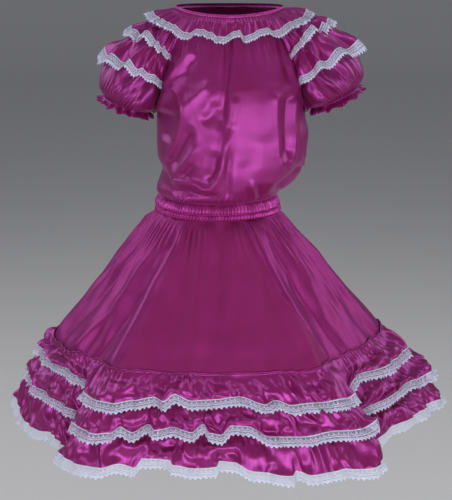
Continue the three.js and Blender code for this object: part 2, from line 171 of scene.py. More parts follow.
def sleeve_top(side, u):
    f = np.where(u <= 0.5, u, 1 - u)
    z = np.where(f <= NECK_PART, NECK, mix(NECK, UNDERARM, (f - NECK_PART) / (0.5 - NECK_PART)))
    edge = np.where(f <= NECK_PART, mix(90.0, 52.0, f / NECK_PART), raglan_edge(z))
    return bodice_base(side * np.where(u > 0.5, 180 - edge, edge), z)


def cuff_point(s, u, drop=0.0, flare=0.0):
    tilt, psi = math.atan2(s["rise"], s["half"]), u * 2 * math.pi
    r, d, side = s["half"] + flare, s["depth"] + flare, s["side"]
    out, down = (side * math.cos(tilt), math.sin(tilt)), (side * math.sin(tilt), -math.cos(tilt))
    c = r * np.cos(psi)
    return np.stack(np.broadcast_arrays(s["x"] + out[0] * c + down[0] * drop, -d * np.sin(psi), s["z"] + out[1] * c + down[1] * drop), -1)


def sleeve_base(s, u, v):
    u = u % 1.0
    p0, p1 = sleeve_top(s["side"], u), cuff_point(s, u)
    x0 = float(mix(sleeve_top(s["side"], np.array(0.0))[0], sleeve_top(s["side"], np.array(0.5))[0], 0.6))
    axis = np.stack(np.broadcast_arrays(mix(x0, s["x"], v), 0 * v, mix(mix(UNDERARM, NECK, 0.5), s["z"], v)), -1)
    p = p0 + (p1 - p0) * np.asarray(v)[..., None]
    c = np.cos(u * 2 * math.pi)
    top, face = curve(PUFF, "v", "top", v), curve(PUFF, "v", "face", v)
    swell = np.where(c >= 0, mix(face, top, c * c), mix(face, face * 0.12, c * c)) * mix(1, s["full"], np.maximum(0, c))
    n = p - axis
    return p + n / np.linalg.norm(n, axis=-1, keepdims=True) * swell[..., None]


def seam_share(z):
    return NECK_PART + (0.5 - NECK_PART) * (NECK - z) / (NECK - UNDERARM)


def sleeve_ruffle_base(s, r, q, t):
    """q runs from -1, the front raglan seam on the left sleeve, to 1; t from the seam line (0) to the edge (1) and on over the lace."""
    end = mix(seam_share(r["seamEnd"]), seam_share(r["edgeEnd"]), t) - 0.012
    top = mix(r["seamTop"], r["edgeTop"], t)
    u = q * end * 0.96
    v = top * np.clip(1 - (u / end) ** 2, 0, 1) ** 0.8
    lift = table("t off", (0, r["lift"]), (0.5, r["middle"]), (1, r["out"]), (1.25, r["out"] + 1.5))
    off = mix(curve(lift, "t", "off", t), r["ends"], np.abs(q) ** 6)
    e = 0.01
    du = sleeve_base(s, u + e, v) - sleeve_base(s, u - e, v)
    dv = sleeve_base(s, u, v + 0.02) - sleeve_base(s, u, np.maximum(0, v - 0.02))
    n = np.cross(du, dv) * s["side"]
    return sleeve_base(s, u, v) + n / np.linalg.norm(n, axis=-1, keepdims=True) * np.asarray(off)[..., None]


# ---------------------------------------------------------------- folds
def waves(seed, lo, hi, n, period=360.0):
    """Uneven folds round a closed ring, n whole waves of lo to hi to the round, about 1 high."""
    rng = np.random.default_rng(seed)
    count = rng.integers(lo, hi + 1, n)
    phase = rng.uniform(0, 2 * math.pi, n)
    height = rng.uniform(0.5, 1.0, n)
    height /= math.sqrt((height**2).sum() / 2)
    return lambda x: sum(h * np.sin(c * x * (2 * math.pi / period) + p) for c, p, h in zip(count, phase, height))


def crumple(seed, size, n=9, along=1.0):
    """Soft dents of about that size, in millimetres, longer one way than the other by along."""
    rng = np.random.default_rng(seed)
    a = rng.uniform(0, 2 * math.pi, n)
    k = 2 * math.pi / size * rng.uniform(0.7, 1.4, n)
    kx, ky, p = k * np.cos(a), k * np.sin(a) / along, rng.uniform(0, 2 * math.pi, n)
    return lambda x, y: sum(np.sin(kx[i] * x + ky[i] * y + p[i]) for i in range(n)) / math.sqrt(n / 2)


def gathers(w, sharp=0.25):
    """Round ridges with narrow valleys between them, from a wave that runs both ways of zero."""
    return np.sqrt(w * w + sharp * sharp) - 0.75


def ribs(count, seed, sharp=0.12):
    """Close, nearly even ribs of drawn-up cloth, from 0 to about 1 high: count to the round, wandering a little."""
    drift, size = waves(seed, 5, 17, 6), waves(seed + 1, 9, 40, 6)
    return lambda x: np.sqrt(np.sin(count / 2 * x * RAD + 0.9 * drift(x)) ** 2 + sharp * sharp) * (0.85 + 0.22 * size(x)) - 0.1


def fold(x, y, points, depth, width, fade=(0.22, 0.22), flat=2.0):
    """A ridge (depth above zero) or trough (below zero) along a line of points, fading at its ends. Sizes in millimetres."""
    p = np.array(points, float)
    seg = np.hypot(*(p[1:] - p[:-1]).T)
    start = np.concatenate([[0], np.cumsum(seg)])
    best = np.full(np.broadcast(x, y).shape, 1e9)
    at = np.zeros_like(best)
    for i in range(len(seg)):
        d = (p[i + 1] - p[i]) / seg[i]
        s = np.clip((x - p[i][0]) * d[0] + (y - p[i][1]) * d[1], 0, seg[i])
        far = np.hypot(x - p[i][0] - s * d[0], y - p[i][1] - s * d[1])
        near = far < best
        best, at = np.where(near, far, best), np.where(near, start[i] + s, at)
    share = at / start[-1]
    ends = smooth(share, 0, fade[0]) * smooth(1 - share, 0, fade[1]) if fade[0] > 0 else smooth(1 - share, 0, fade[1])
    return depth * np.exp(-((best / width) ** flat)) * ends


def radial(deg, z, rows, side=0):
    """A fold that runs down the skirt: rows of z, angle, depth, half width in millimetres. side 1 or -1 makes one flank steeper."""
    r = np.array(sorted(rows), float)
    at, depth, width = (np.interp(z, r[:, 0], r[:, i]) for i in (1, 2, 3))
    inside = smooth(z, r[0, 0] - 18, r[0, 0] + 6) * smooth(-z, -r[-1, 0] - 14, -r[-1, 0] + 6)
    radius = (curve(SKIRT, "z", "a", z) + curve(SKIRT, "z", "b", z)) / 2
    x = (deg - at) * RAD * radius / width
    x = x * np.where(x * side > 0, 1.9, 1.0)
    return depth * np.exp(-np.abs(x) ** 1.7) * inside


def pushed(fn, U, V, h, eu, ev, out):
    """The surface fn(U, V) moved out along its own normal by h. out is 1 or -1, the way the normal faces."""
    du = fn(U + eu, V) - fn(U - eu, V)
    dv = fn(U, V + ev) - fn(U, V - ev)
    n = np.cross(du, dv) * out
    n /= np.maximum(np.linalg.norm(n, axis=-1, keepdims=True), 1e-9)
    return fn(U, V) + n * np.asarray(h)[..., None]


# ---------------------------------------------------------------- meshes
PIECES = []


def mesh(name, points, corners, counts, material, uv=None):
    """points in millimetres; corners is the flat list of corner numbers, counts how many each face has."""
    me = bpy.data.meshes.new(name)
    me.vertices.add(len(points))
    me.vertices.foreach_set("co", (np.asarray(points) / 1000).astype(np.float32).ravel())
    me.loops.add(len(corners))
    me.loops.foreach_set("vertex_index", np.asarray(corners, np.int32))
    me.polygons.add(len(counts))
    counts = np.asarray(counts, np.int32)
    me.polygons.foreach_set("loop_start", np.concatenate([[0], np.cumsum(counts)[:-1]]).astype(np.int32))
    me.polygons.foreach_set("use_smooth", np.ones(len(counts), bool))
    if uv is not None:
        layer = me.uv_layers.new(name="cloth")
        layer.data.foreach_set("uv", np.asarray(uv, np.float32)[np.asarray(corners)].ravel())
    me.update(calc_edges=True)
    me.validate()
    ob = bpy.data.objects.new(name, me)
    bpy.context.scene.collection.objects.link(ob)
    me.materials.append(material)
    PIECES.append(ob)
    return ob


def cloth(name, P, material, wrap=False, flip=False):
    """A sheet from a grid of points, columns by rows. Its map is the cloth's own length in metres, both ways."""
    nu, nv = P.shape[:2]
    if wrap:
        P = np.concatenate([P, P[:1]])
        nu += 1
    step_u = np.linalg.norm(P[1:] - P[:-1], axis=-1).mean(1)
    step_v = np.linalg.norm(P[:, 1:] - P[:, :-1], axis=-1).mean(0)
    u, v = np.concatenate([[0], np.cumsum(step_u)]) / 1000, np.concatenate([[0], np.cumsum(step_v)]) / 1000
    uv = np.stack(np.meshgrid(u, -v, indexing="ij"), -1).reshape(-1, 2)
    I, J = np.meshgrid(np.arange(nu - 1), np.arange(nv - 1), indexing="ij")
    a = I * nv + J
    b = a + nv
    F = np.stack([a, a + 1, b + 1, b] if not flip else [a, b, b + 1, a + 1], -1).reshape(-1, 4)
    points = P.reshape(-1, 3)
    if wrap:
        # the last column is the first one, with its own place in the map
        me = mesh(name, points, F.ravel(), np.full(len(F), 4), material, uv)
        weld(me)
        return me
    return mesh(name, points, F.ravel(), np.full(len(F), 4), material, uv)


def weld(ob):
    m = ob.modifiers.new("weld", "WELD")
    m.merge_threshold = 0.00001
    apply(ob, m)


def apply(ob, m):
    dg = bpy.context.evaluated_depsgraph_get()
    new = bpy.data.meshes.new_from_object(ob.evaluated_get(dg), depsgraph=dg)
    ob.modifiers.remove(m)
    old, ob.data = ob.data, new
    new.name = old.name + "_m"
    bpy.data.meshes.remove(old)


def area(P, wrap=False):
    """Area of a grid of points, in square metres."""
    if wrap:
        P = np.concatenate([P, P[:1]])
    a, b, c, d = P[:-1, :-1], P[1:, :-1], P[1:, 1:], P[:-1, 1:]
    return 0.5e-6 * float((np.linalg.norm(np.cross(b - a, c - a), axis=-1) + np.linalg.norm(np.cross(c - a, d - a), axis=-1)).sum())


# ---------------------------------------------------------------- lace
class Pattern:
    """One repeat of an edging drawn flat: s along it, w down from its top, in millimetres. Threads are narrow strips, petals small ovals."""

    def __init__(self, length, width):
        self.length, self.width, self.points, self.faces = length, width, [], []

    def add(self, points, faces):
        k = len(self.points)
        self.points += [tuple(p) for p in points]
        self.faces += [[c + k for c in f] for f in faces]

    def strip(self, line, half):
        p = np.array(line, float)
        half = np.broadcast_to(half, len(p))
        d = np.gradient(p, axis=0)
        d /= np.maximum(np.hypot(*d.T)[:, None], 1e-9)
        side = np.stack([-d[:, 1], d[:, 0]], -1) * np.asarray(half)[:, None]
        both = np.stack([p - side, p + side], 1).reshape(-1, 2)
        self.add(both, [[2 * i, 2 * i + 1, 2 * i + 3, 2 * i + 2] for i in range(len(p) - 1)])

    def petal(self, x, y, long, wide, turn, n=6):
        a = np.arange(n) * 2 * math.pi / n
        px, py = wide * np.cos(a), long * np.sin(a)
        c, s_ = math.cos(turn), math.sin(turn)
        self.add(np.stack([x + px * c + py * s_, y - px * s_ + py * c], -1), [list(range(n))])


def wide_lace():
    """A 20 mm edging: cord and picots at the top, open net with small sprigs, then two close rows and pointed scallops every 10 mm."""
    p = Pattern(20.0, 20.0)
    p.strip([(x, 1.0 + 0.15 * (i % 2)) for i, x in enumerate(np.linspace(0, 20, 9))], 0.62)
    for i in range(8):
        p.petal(1.25 + 2.5 * i, 0.1, 0.62, 0.55, 0, 5)
    for i in range(7):
        x = 20 / 7 * i
        p.strip([(x, 1.4), (x + 4.2, 5.6), (x + 8.0, 9.4)], 0.17)
        p.strip([(x + 8.0, 1.4), (x + 3.8, 5.6), (x, 9.4)], 0.17)
    for x in (5.0, 15.0):
        for turn, y in ((0.95, 6.6), (-0.95, 6.6), (0.0, 5.0)):
            p.petal(x + 1.6 * math.sin(turn), y - 0.8 * math.cos(turn), 1.6, 0.62, turn)
        p.strip([(x, 5.5), (x, 9.6)], 0.3)
    for x in (0.0, 10.0):
        p.petal(x + 0.01, 7.3, 0.8, 0.8, 0)
        p.petal(x - 1.9, 7.9, 1.15, 0.6, -1.0, 5)
        p.petal(x + 1.9, 7.9, 1.15, 0.6, 1.0, 5)
    p.strip([(x, 10.2 + 0.5 * math.cos(2 * math.pi * x / 5)) for x in np.linspace(0, 20, 17)], 0.6)
    for i in range(10):
        p.petal(1.0 + 2.0 * i, 12.0, 1.15, 0.45, 0.25 * (-1) ** i, 5)
    p.strip([(x, 13.8 + 0.45 * math.cos(2 * math.pi * x / 10)) for x in np.linspace(0, 20, 17)], 0.55)
    for x in (0.0, 10.0):
        for dx, y, l, w_, turn in ((5.0, 16.6, 2.2, 0.95, 0.0), (3.2, 15.9, 1.6, 0.7, -0.55), (6.8, 15.9, 1.6, 0.7, 0.55), (1.7, 15.3, 1.2, 0.6, -0.9), (8.3, 15.3, 1.2, 0.6, 0.9)):
            p.petal(x + dx, y, l, w_, turn)
        p.strip([(x, 15.3), (x + 1.6, 16.5), (x + 3.3, 18.0), (x + 5, 19.6), (x + 6.7, 18.0), (x + 8.4, 16.5), (x + 10, 15.3)], (0.5, 0.48, 0.48, 0.7, 0.48, 0.48, 0.5))
    return p


def narrow_lace():
    """A 15 mm edging of the same kind with points every 6 mm."""
    p = Pattern(12.0, 15.0)
    p.strip([(x, 0.9 + 0.12 * (i % 2)) for i, x in enumerate(np.linspace(0, 12, 7))], 0.6)
    for i in range(5):
        p.petal(1.2 + 2.4 * i, 0.1, 0.55, 0.5, 0, 5)
    for i in range(5):
        x = 2.4 * i
        p.strip([(x, 1.2), (x + 2.8, 4.0), (x + 5.6, 6.8)], 0.17)
        p.strip([(x + 5.6, 1.2), (x + 2.8, 4.0), (x, 6.8)], 0.17)
    for x in (3.0, 9.0):
        for turn in (0.95, -0.95, 0.0):
            p.petal(x + 1.4 * math.sin(turn), 5.3 - 1.2 * math.cos(turn), 1.3, 0.52, turn)
    for x in (0.0, 6.0):
        p.petal(x, 5.9, 0.7, 0.65, 0)
    p.strip([(x, 7.5 + 0.35 * math.cos(2 * math.pi * x / 4)) for x in np.linspace(0, 12, 10)], 0.52)
    for i in range(6):
        p.petal(1.0 + 2.0 * i, 9.1, 1.0, 0.46, 0.25 * (-1) ** i, 5)
    p.strip([(x, 10.5) for x in np.linspace(0, 12, 7)], 0.55)
    for x in (0.0, 6.0):
        for dx, y, l, w_, turn in ((3.0, 12.4, 1.7, 0.8, 0.0), (1.6, 11.9, 1.2, 0.6, -0.6), (4.4, 11.9, 1.2, 0.6, 0.6)):
            p.petal(x + dx, y, l, w_, turn)
        p.strip([(x, 11.6), (x + 1.5, 13.0), (x + 3, 14.6), (x + 4.5, 13.0), (x + 6, 11.6)], (0.45, 0.42, 0.6, 0.42, 0.45))
    return p


PATTERNS = {"wide": wide_lace(), "narrow": narrow_lace()}


def lace(name, P, rows, kind, wrap, node):
    """An edging along the bottom rows of a grid: rows is the pair of row numbers (not whole) where it starts and ends."""
    pattern = PATTERNS[kind]
    points, faces, length, width = np.array(pattern.points), pattern.faces, pattern.length, pattern.width
    if wrap:
        P = np.concatenate([P, P[:1]])
    line = P[:, int(rows[0])]
    run = np.concatenate([[0], np.cumsum(np.linalg.norm(line[1:] - line[:-1], axis=1))])
    # the ruffle is set fuller than the lace drawn flat on it, so the repeat keeps its size on the line
    n = max(1, round(run[-1] / length))
    k = np.arange(n)[:, None]
    s = (points[None, :, 0] / length + k) / n * run[-1]
    s = np.clip(s, 0, run[-1])
    w = np.broadcast_to(points[None, :, 1], s.shape)
    u = np.interp(s, run, np.arange(len(run)))
    v = rows[0] + w / width * (rows[1] - rows[0])
    iu, iv = np.clip(u.astype(int), 0, P.shape[0] - 2), np.clip(v.astype(int), 0, P.shape[1] - 2)
    fu, fv = (u - iu)[..., None], (v - iv)[..., None]
    at = P[iu, iv] * (1 - fu) * (1 - fv) + P[iu + 1, iv] * fu * (1 - fv) + P[iu, iv + 1] * (1 - fu) * fv + P[iu + 1, iv + 1] * fu * fv
    normal = np.cross(P[iu + 1, iv] - P[iu, iv], P[iu, iv + 1] - P[iu, iv])
    normal /= np.maximum(np.linalg.norm(normal, axis=-1, keepdims=True), 1e-9)
    # each thread lies at its own height, so that crossing threads don't share a plane
    layer = np.zeros(len(points))
    for i, f in enumerate(faces):
        layer[f] = 0.05 * (i % 7)
    raised = 0.35 * np.exp(-(((w - 1.0) / 1.0) ** 2)) + 0.3 * smooth(w, width * 0.42, width * 0.52) + layer
    at = at - normal * (raised + 0.2)[..., None]
    size = len(points)
    flat = np.array([c for f in faces for c in f])
    counts = np.array([len(f) for f in faces])
    corners = (flat[None, :] + k * size).ravel()
    uv = np.stack([s, -w], -1).reshape(-1, 2) / 1000
    ob = mesh(name, at.reshape(-1, 3), corners, np.tile(counts, n), LACE, uv)
    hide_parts(node)
    # its flat length, from the strip that it fills
    return ob, area(P[:, int(rows[0]) : int(rows[1]) + 1]) / (width / 1000)


# ---------------------------------------------------------------- materials
def satin(name, deep, bright, rough, seed, streak, gloss=0.9, metal=0.25, turned=False):
    """Plum satin: shot between a red plum and a violet one, with a fine float weave and slight unevenness."""
    m = bpy.data.materials.new(name)
    m.use_nodes = True
    nt = m.node_tree
    nt.nodes.clear()
    N = nt.nodes.new
    out, sh = N("ShaderNodeOutputMaterial"), N("ShaderNodeBsdfPrincipled")
    nt.links.new(sh.outputs[0], out.inputs[0])
    co = N("ShaderNodeTexCoord")
    cloud = N("ShaderNodeTexNoise")
    cloud.inputs["Scale"].default_value = 14.0
    cloud.inputs["Detail"].default_value = 3.0
    cloud.noise_dimensions = "4D"
    cloud.inputs["W"].default_value = seed
    nt.links.new(co.outputs["Object"], cloud.inputs["Vector"])
    mixer = N("ShaderNodeMix")
    mixer.data_type = "RGBA"
    mixer.inputs["A"].default_value = (*deep, 1)
    mixer.inputs["B"].default_value = (*bright, 1)
    ramp = N("ShaderNodeMapRange")
    ramp.inputs["From Min"].default_value = 0.3
    ramp.inputs["From Max"].default_value = 0.7
    nt.links.new(cloud.outputs["Fac"], ramp.inputs["Value"])
    nt.links.new(ramp.outputs["Result"], mixer.inputs["Factor"])
    nt.links.new(mixer.outputs["Result"], sh.inputs["Base Color"])
    r2 = N("ShaderNodeMapRange")
    r2.inputs["To Min"].default_value = rough - 0.05
    r2.inputs["To Max"].default_value = rough + 0.06
    nt.links.new(cloud.outputs["Fac"], r2.inputs["Value"])
    nt.links.new(r2.outputs["Result"], sh.inputs["Roughness"])
    # the weave: fine cross threads under longer floats
    maps = N("ShaderNodeMapping")
    maps.inputs["Scale"].default_value = (760.0, 300.0, 1.0)
    nt.links.new(co.outputs["UV"], maps.inputs["Vector"])
    weave = N("ShaderNodeTexNoise")
    weave.inputs["Scale"].default_value = 1.0
    weave.inputs["Detail"].default_value = 1.0
    nt.links.new(maps.outputs["Vector"], weave.inputs["Vector"])
    bump = N("ShaderNodeBump")
    bump.inputs["Strength"].default_value = 0.5
    bump.inputs["Distance"].default_value = 0.0004
    nt.links.new(weave.outputs["Fac"], bump.inputs["Height"])
    # creases from wear: short, narrow and along the cloth's length
    long = N("ShaderNodeMapping")
    long.inputs["Scale"].default_value = (150.0, 34.0, 1.0)
    long.inputs["Rotation"].default_value = (0, 0, 0.12)
    nt.links.new(co.outputs["UV"], long.inputs["Vector"])
    fine = N("ShaderNodeTexNoise")
    fine.inputs["Scale"].default_value = 1.0
    fine.inputs["Detail"].default_value = 3.0
    fine.inputs["Distortion"].default_value = 0.6
    nt.links.new(long.outputs["Vector"], fine.inputs["Vector"])
    bump2 = N("ShaderNodeBump")
    bump2.inputs["Strength"].default_value = streak
    bump2.inputs["Distance"].default_value = 0.0016
    nt.links.new(fine.outputs["Fac"], bump2.inputs["Height"])
    nt.links.new(bump.outputs["Normal"], bump2.inputs["Normal"])
    nt.links.new(bump2.outputs["Normal"], sh.inputs["Normal"])
    sh.inputs["Metallic"].default_value = metal
    sh.inputs["IOR"].default_value = 1.8
    sh.inputs["Specular IOR Level"].default_value = gloss
    sh.inputs["Specular Tint"].default_value = (0.80, 0.20, 1.0, 1)
    if turned:
        # where the panel's edge turns over, the shiny side shows: the cloth's own mark "turned" goes from 0 to 1
        mark = N("ShaderNodeAttribute")
        mark.attribute_name = "turned"
        for socket, lo, hi in (("Specular IOR Level", gloss, 1.0), ("Metallic", metal, 0.45)):
            ramp = N("ShaderNodeMapRange")
            ramp.inputs["To Min"].default_value = lo
            ramp.inputs["To Max"].default_value = hi
            nt.links.new(mark.outputs["Fac"], ramp.inputs["Value"])
            nt.links.new(ramp.outputs["Result"], sh.inputs[socket])
        less = N("ShaderNodeMath")
        less.operation = "MULTIPLY_ADD"
        less.inputs[1].default_value = 0.42 - rough
        nt.links.new(mark.outputs["Fac"], less.inputs[0])
        nt.links.new(r2.outputs["Result"], less.inputs[2])
        nt.links.new(less.outputs["Value"], sh.inputs["Roughness"])
    sh.inputs["Sheen Weight"].default_value = 0.12
    sh.inputs["Sheen Roughness"].default_value = 0.35
    sh.inputs["Sheen Tint"].default_value = (0.85, 0.35, 0.75, 1)
    return m


def lace_material():
    m = bpy.data.materials.new("lace_white")
    m.use_nodes = True
    nt = m.node_tree
    nt.nodes.clear()
    N = nt.nodes.new
    out, sh = N("ShaderNodeOutputMaterial"), N("ShaderNodeBsdfPrincipled")
    nt.links.new(sh.outputs[0], out.inputs[0])
    co = N("ShaderNodeTexCoord")
    thread_ = N("ShaderNodeTexNoise")
    thread_.inputs["Scale"].default_value = 900.0
    thread_.inputs["Detail"].default_value = 2.0
    nt.links.new(co.outputs["Object"], thread_.inputs["Vector"])
    mixer = N("ShaderNodeMix")
    mixer.data_type = "RGBA"
    mixer.inputs["A"].default_value = (0.43, 0.46, 0.63, 1)
    mixer.inputs["B"].default_value = (0.69, 0.72, 0.90, 1)
    nt.links.new(thread_.outputs["Fac"], mixer.inputs["Factor"])
    nt.links.new(mixer.outputs["Result"], sh.inputs["Base Color"])
    rough = N("ShaderNodeMapRange")
    rough.inputs["To Min"].default_value = 0.62
    rough.inputs["To Max"].default_value = 0.86
    nt.links.new(thread_.outputs["Fac"], rough.inputs["Value"])
    nt.links.new(rough.outputs["Result"], sh.inputs["Roughness"])
    bump = N("ShaderNodeBump")
    bump.inputs["Strength"].default_value = 0.5
    bump.inputs["Distance"].default_value = 0.0004
    nt.links.new(thread_.outputs["Fac"], bump.inputs["Height"])
    nt.links.new(bump.outputs["Normal"], sh.inputs["Normal"])
    sh.inputs["Sheen Weight"].default_value = 0.15
    return m


def stage_material(name, tone):
    m = bpy.data.materials.new(name)
    m.use_nodes = True
    sh = m.node_tree.nodes["Principled BSDF"]
    co, noise = m.node_tree.nodes.new("ShaderNodeTexCoord"), m.node_tree.nodes.new("ShaderNodeTexNoise")
    noise.inputs["Scale"].default_value = 3.0
    ramp = m.node_tree.nodes.new("ShaderNodeMix")
    ramp.data_type = "RGBA"
    ramp.inputs["A"].default_value = (tone, tone, tone * 0.99, 1)
    ramp.inputs["B"].default_value = (tone * 1.02, tone * 1.02, tone * 1.02, 1)
    m.node_tree.links.new(co.outputs["Object"], noise.inputs["Vector"])
    m.node_tree.links.new(noise.outputs["Fac"], ramp.inputs["Factor"])
    m.node_tree.links.new(ramp.outputs["Result"], sh.inputs["Base Color"])
    sh.inputs["Roughness"].default_value = 0.9
    return m


DEEP, BRIGHT = (0.198, 0.0090, 0.066), (0.225, 0.0120, 0.098)
BODICE_SATIN = satin("satin_bodice", DEEP, BRIGHT, 0.36, 1.0, 0.10)
# the sleeves' satin: the same plum painted darker, as painted shade, with a little less gloss
SLEEVE_SATIN_PAINTED_SHADE = satin("satin_sleeve_painted_shade", (0.150, 0.0068, 0.050), (0.180, 0.0095, 0.076), 0.33, 6.0, 0.14, 0.75)
# the same satin, cut across on the front panel, where it shines less, and along on the others
SKIRT_SATIN = satin("satin_skirt", DEEP, BRIGHT, 0.42, 2.0, 0.40, 1.0, 0.54)
PANEL_SATIN = satin("satin_skirt_front", (0.190, 0.0105, 0.071), (0.212, 0.0125, 0.084), 0.60, 5.0, 0.16, 0.40, 0.24, True)
RUFFLE_SATIN = satin("satin_ruffle", DEEP, BRIGHT, 0.29, 3.0, 0.14)
# the casings' satin: the same plum painted lighter, as painted light, with full gloss
SHIRRED_SATIN_PAINTED_LIGHT = satin("satin_shirred", (0.270, 0.015, 0.098), (0.310, 0.020, 0.145), 0.36, 4.0, 0.08, 1.0)
LACE = lace_material()


# ---------------------------------------------------------------- bodice
# lines on the front, x and z in millimetres from the frame's origin: points, height, half width, fades
FRONT_FOLDS = [
    # the big bow at the left: up from the side, over, and down to the pinch; the cloth inside it sinks
    ([(-124, 212), (-108, 241), (-94, 256), (-79, 265), (-69, 258), (-63, 243), (-63, 218), (-71, 191), (-81, 163), (-94, 136), (-110, 115)], 8.5, 8, (0.08, 0.12)),
    ([(-98, 228), (-97, 196), (-106, 155)], -6.5, 15, (0.2, 0.3)),
    # the second ridge, a wedge beside it, and the hook round a small hollow
    ([(-62, 208), (-54, 234), (-42, 253), (-24, 270), (-11, 292)], 5.0, 9, (0.3, 0.25)),
    ([(-58, 310), (-55, 276), (-60, 246)], -3.6, 10, (0.3, 0.35)),
    ([(-20, 272), (-9, 260), (-12, 246), (-25, 230), (-35, 212)], 2.0, 8, (0.3, 0.35)),
    ([(0, 252), (-12, 224), (-32, 204)], -5.0, 11, (0.3, 0.3)),
    # the broad sheen across the middle, dark each side of it
    ([(-46, 206), (-70, 160), (-98, 106)], -8.5, 14, (0.25, 0.2)),
    ([(-26, 176), (-50, 140), (-76, 104), (-99, 84)], 6.0, 9, (0.3, 0.15)),
    ([(-42, 128), (-72, 90)], -5.0, 8.5, (0.3, 0.3)),
    ([(-2, 190), (-20, 146), (-46, 96)], 3.0, 20, (0.3, 0.3)),
    ([(-2, 156), (-8, 118), (-22, 90)], -6.5, 10, (0.25, 0.25)),
    # the long swags under it
    ([(-100, 80), (-74, 83), (-54, 85), (-40, 83), (-28, 75), (-15, 76), (-2, 92), (9, 118), (15, 150), (20, 180), (28, 206)], 8.0, 8.5, (0.1, 0.2)),
    ([(-104, 64), (-60, 64), (-24, 56), (8, 68)], -7.0, 9, (0.2, 0.3)),
    ([(-96, 48), (-76, 52), (-54, 47)], 4.5, 9, (0.3, 0.3)),
    # down the centre
    ([(21, 394), (19, 320), (16, 281), (11, 250), (9, 216), (14, 172)], -10.0, 9.5, (0.08, 0.35)),
    ([(4, 262), (2, 224), (8, 190)], -4.0, 12.0, (0.35, 0.35)),
    ([(23, 160), (19, 112), (19, 54)], -5.5, 7.5, (0.25, 0.15)),
    # the big smooth part right of it
    ([(34, 262), (32, 232), (27, 196)], 3.0, 8, (0.25, 0.35)),
    ([(46, 140), (52, 105), (50, 70)], -2.0, 18, (0.35, 0.3)),
    ([(84, 190), (86, 140), (80, 90)], 2.0, 18, (0.3, 0.3)),
    # the hanging pleat at the right, a ridge each side
    ([(133, 262), (133, 196), (135, 142), (136, 126)], -8.5, 9.5, (0.12, 0.2)),
    ([(121, 258), (121, 196), (125, 142), (131, 122)], -3.5, 11.0, (0.15, 0.2)),
    ([(104, 270), (110, 240), (112, 196), (117, 142), (125, 118), (133, 110)], 4.5, 7, (0.12, 0.12)),
    ([(146, 258), (148, 200), (149, 146), (144, 122), (136, 113)], 6.5, 8, (0.15, 0.12)),
    ([(163, 250), (167, 182), (172, 110)], 4.0, 5.5, (0.2, 0.2)),
    ([(172, 240), (178, 178), (181, 114)], -6.5, 6.5, (0.2, 0.2)),
    ([(176, 104), (146, 90), (114, 64)], -8.0, 9, (0.15, 0.2)),
    ([(184, 112), (160, 80), (120, 52)], 5.5, 8, (0.2, 0.2)),
    ([(112, 100), (100, 76), (92, 50)], 3.0, 12, (0.3, 0.2)),
    ([(66, 98), (70, 72), (74, 44)], 4.6, 5.0, (0.3, 0.15)),
    ([(80, 88), (83, 66), (86, 44)], -3.4, 6.0, (0.3, 0.2)),
    ([(56, 84), (59, 64), (62, 42)], -3.2, 6.0, (0.3, 0.2)),
    # under the frill and along the raglan seams
    ([(-39, 392), (-43, 326), (-50, 286)], -3.4, 9, (0.1, 0.6)),
    ([(-25, 394), (-25, 330), (-27, 292)], -3.6, 8, (0.1, 0.6)),
    ([(-8, 394), (-7, 330), (-6, 296)], -2.8, 7.5, (0.1, 0.6)),
    ([(6, 394), (6, 330), (7, 284)], 3.4, 9, (0.1, 0.6)),
    ([(42, 394), (45, 326), (46, 296)], -2.8, 8, (0.1, 0.6)),
    ([(60, 394), (63, 330), (64, 296)], -3.2, 8, (0.1, 0.6)),
    ([(78, 394), (82, 334), (84, 300)], -2.6, 8, (0.1, 0.6)),
    ([(96, 394), (101, 334), (104, 298)], -3.2, 8, (0.1, 0.6)),
    ([(113, 392), (125, 330), (133, 296), (141, 256)], -5.5, 7.5, (0.1, 0.3)),
    ([(134, 332), (146, 290), (156, 240)], 5.5, 8.5, (0.25, 0.3)),
    ([(-44, 350), (-74, 308), (-112, 250)], 6.0, 9.0, (0.15, 0.2)),
    ([(-40, 336), (-62, 300), (-82, 278)], -4.0, 8.0, (0.25, 0.3)),
]
# how far forward the front stands: straight down from the neck to the chest, then nearly upright
UPRIGHT = table("z y", (34, 97), (42, 118), (54, 131), (74, 141), (96, 144), (120, 144.5), (160, 145), (205, 143), (240, 140), (258, 137.5), (268, 135.5), (280, 130.5), (404, 78))
# the same kind of drape across the back, given one by one, as none of it shows
BACK_FOLDS = [
    ([(-118, 250), (-96, 268), (-70, 250), (-66, 206), (-82, 160), (-104, 112)], 6.5, 10, (0.1, 0.2)),
    ([(-60, 300), (-34, 262), (-28, 206), (-44, 140), (-60, 92)], 5.0, 13, (0.2, 0.2)),
    ([(-90, 214), (-88, 168), (-98, 122)], -5.0, 11, (0.2, 0.3)),
    ([(6, 366), (6, 290), (2, 220), (8, 150), (4, 70)], -5.5, 9, (0.1, 0.2)),
    ([(30, 270), (44, 206), (36, 140), (54, 84)], 5.5, 12, (0.2, 0.2)),
    ([(76, 284), (86, 214), (76, 140), (92, 76)], -5.5, 9, (0.2, 0.2)),
    ([(112, 284), (120, 220), (112, 150), (126, 90)], 6.0, 9, (0.2, 0.2)),
    ([(-84, 84), (-40, 92), (10, 78), (60, 90), (110, 78)], -4.5, 8, (0.15, 0.15)),
    ([(-70, 66), (-30, 72), (8, 60)], 4.5, 9, (0.2, 0.2)),
    ([(40, 66), (84, 72), (120, 60)], 4.5, 9, (0.2, 0.2)),
    ([(158, 240), (166, 180), (160, 110)], -5.0, 8, (0.2, 0.2)),
    ([(-118, 190), (-124, 140), (-112, 90)], -4.5, 8, (0.2, 0.2)),
]
DRAPE_A, DRAPE_B = crumple(11, 95, along=1.9), crumple(12, 46, along=1.6)
PUCKER_BODICE, PUCKER_WAIST = waves(13, 24, 36, 6), waves(14, 28, 42, 6)


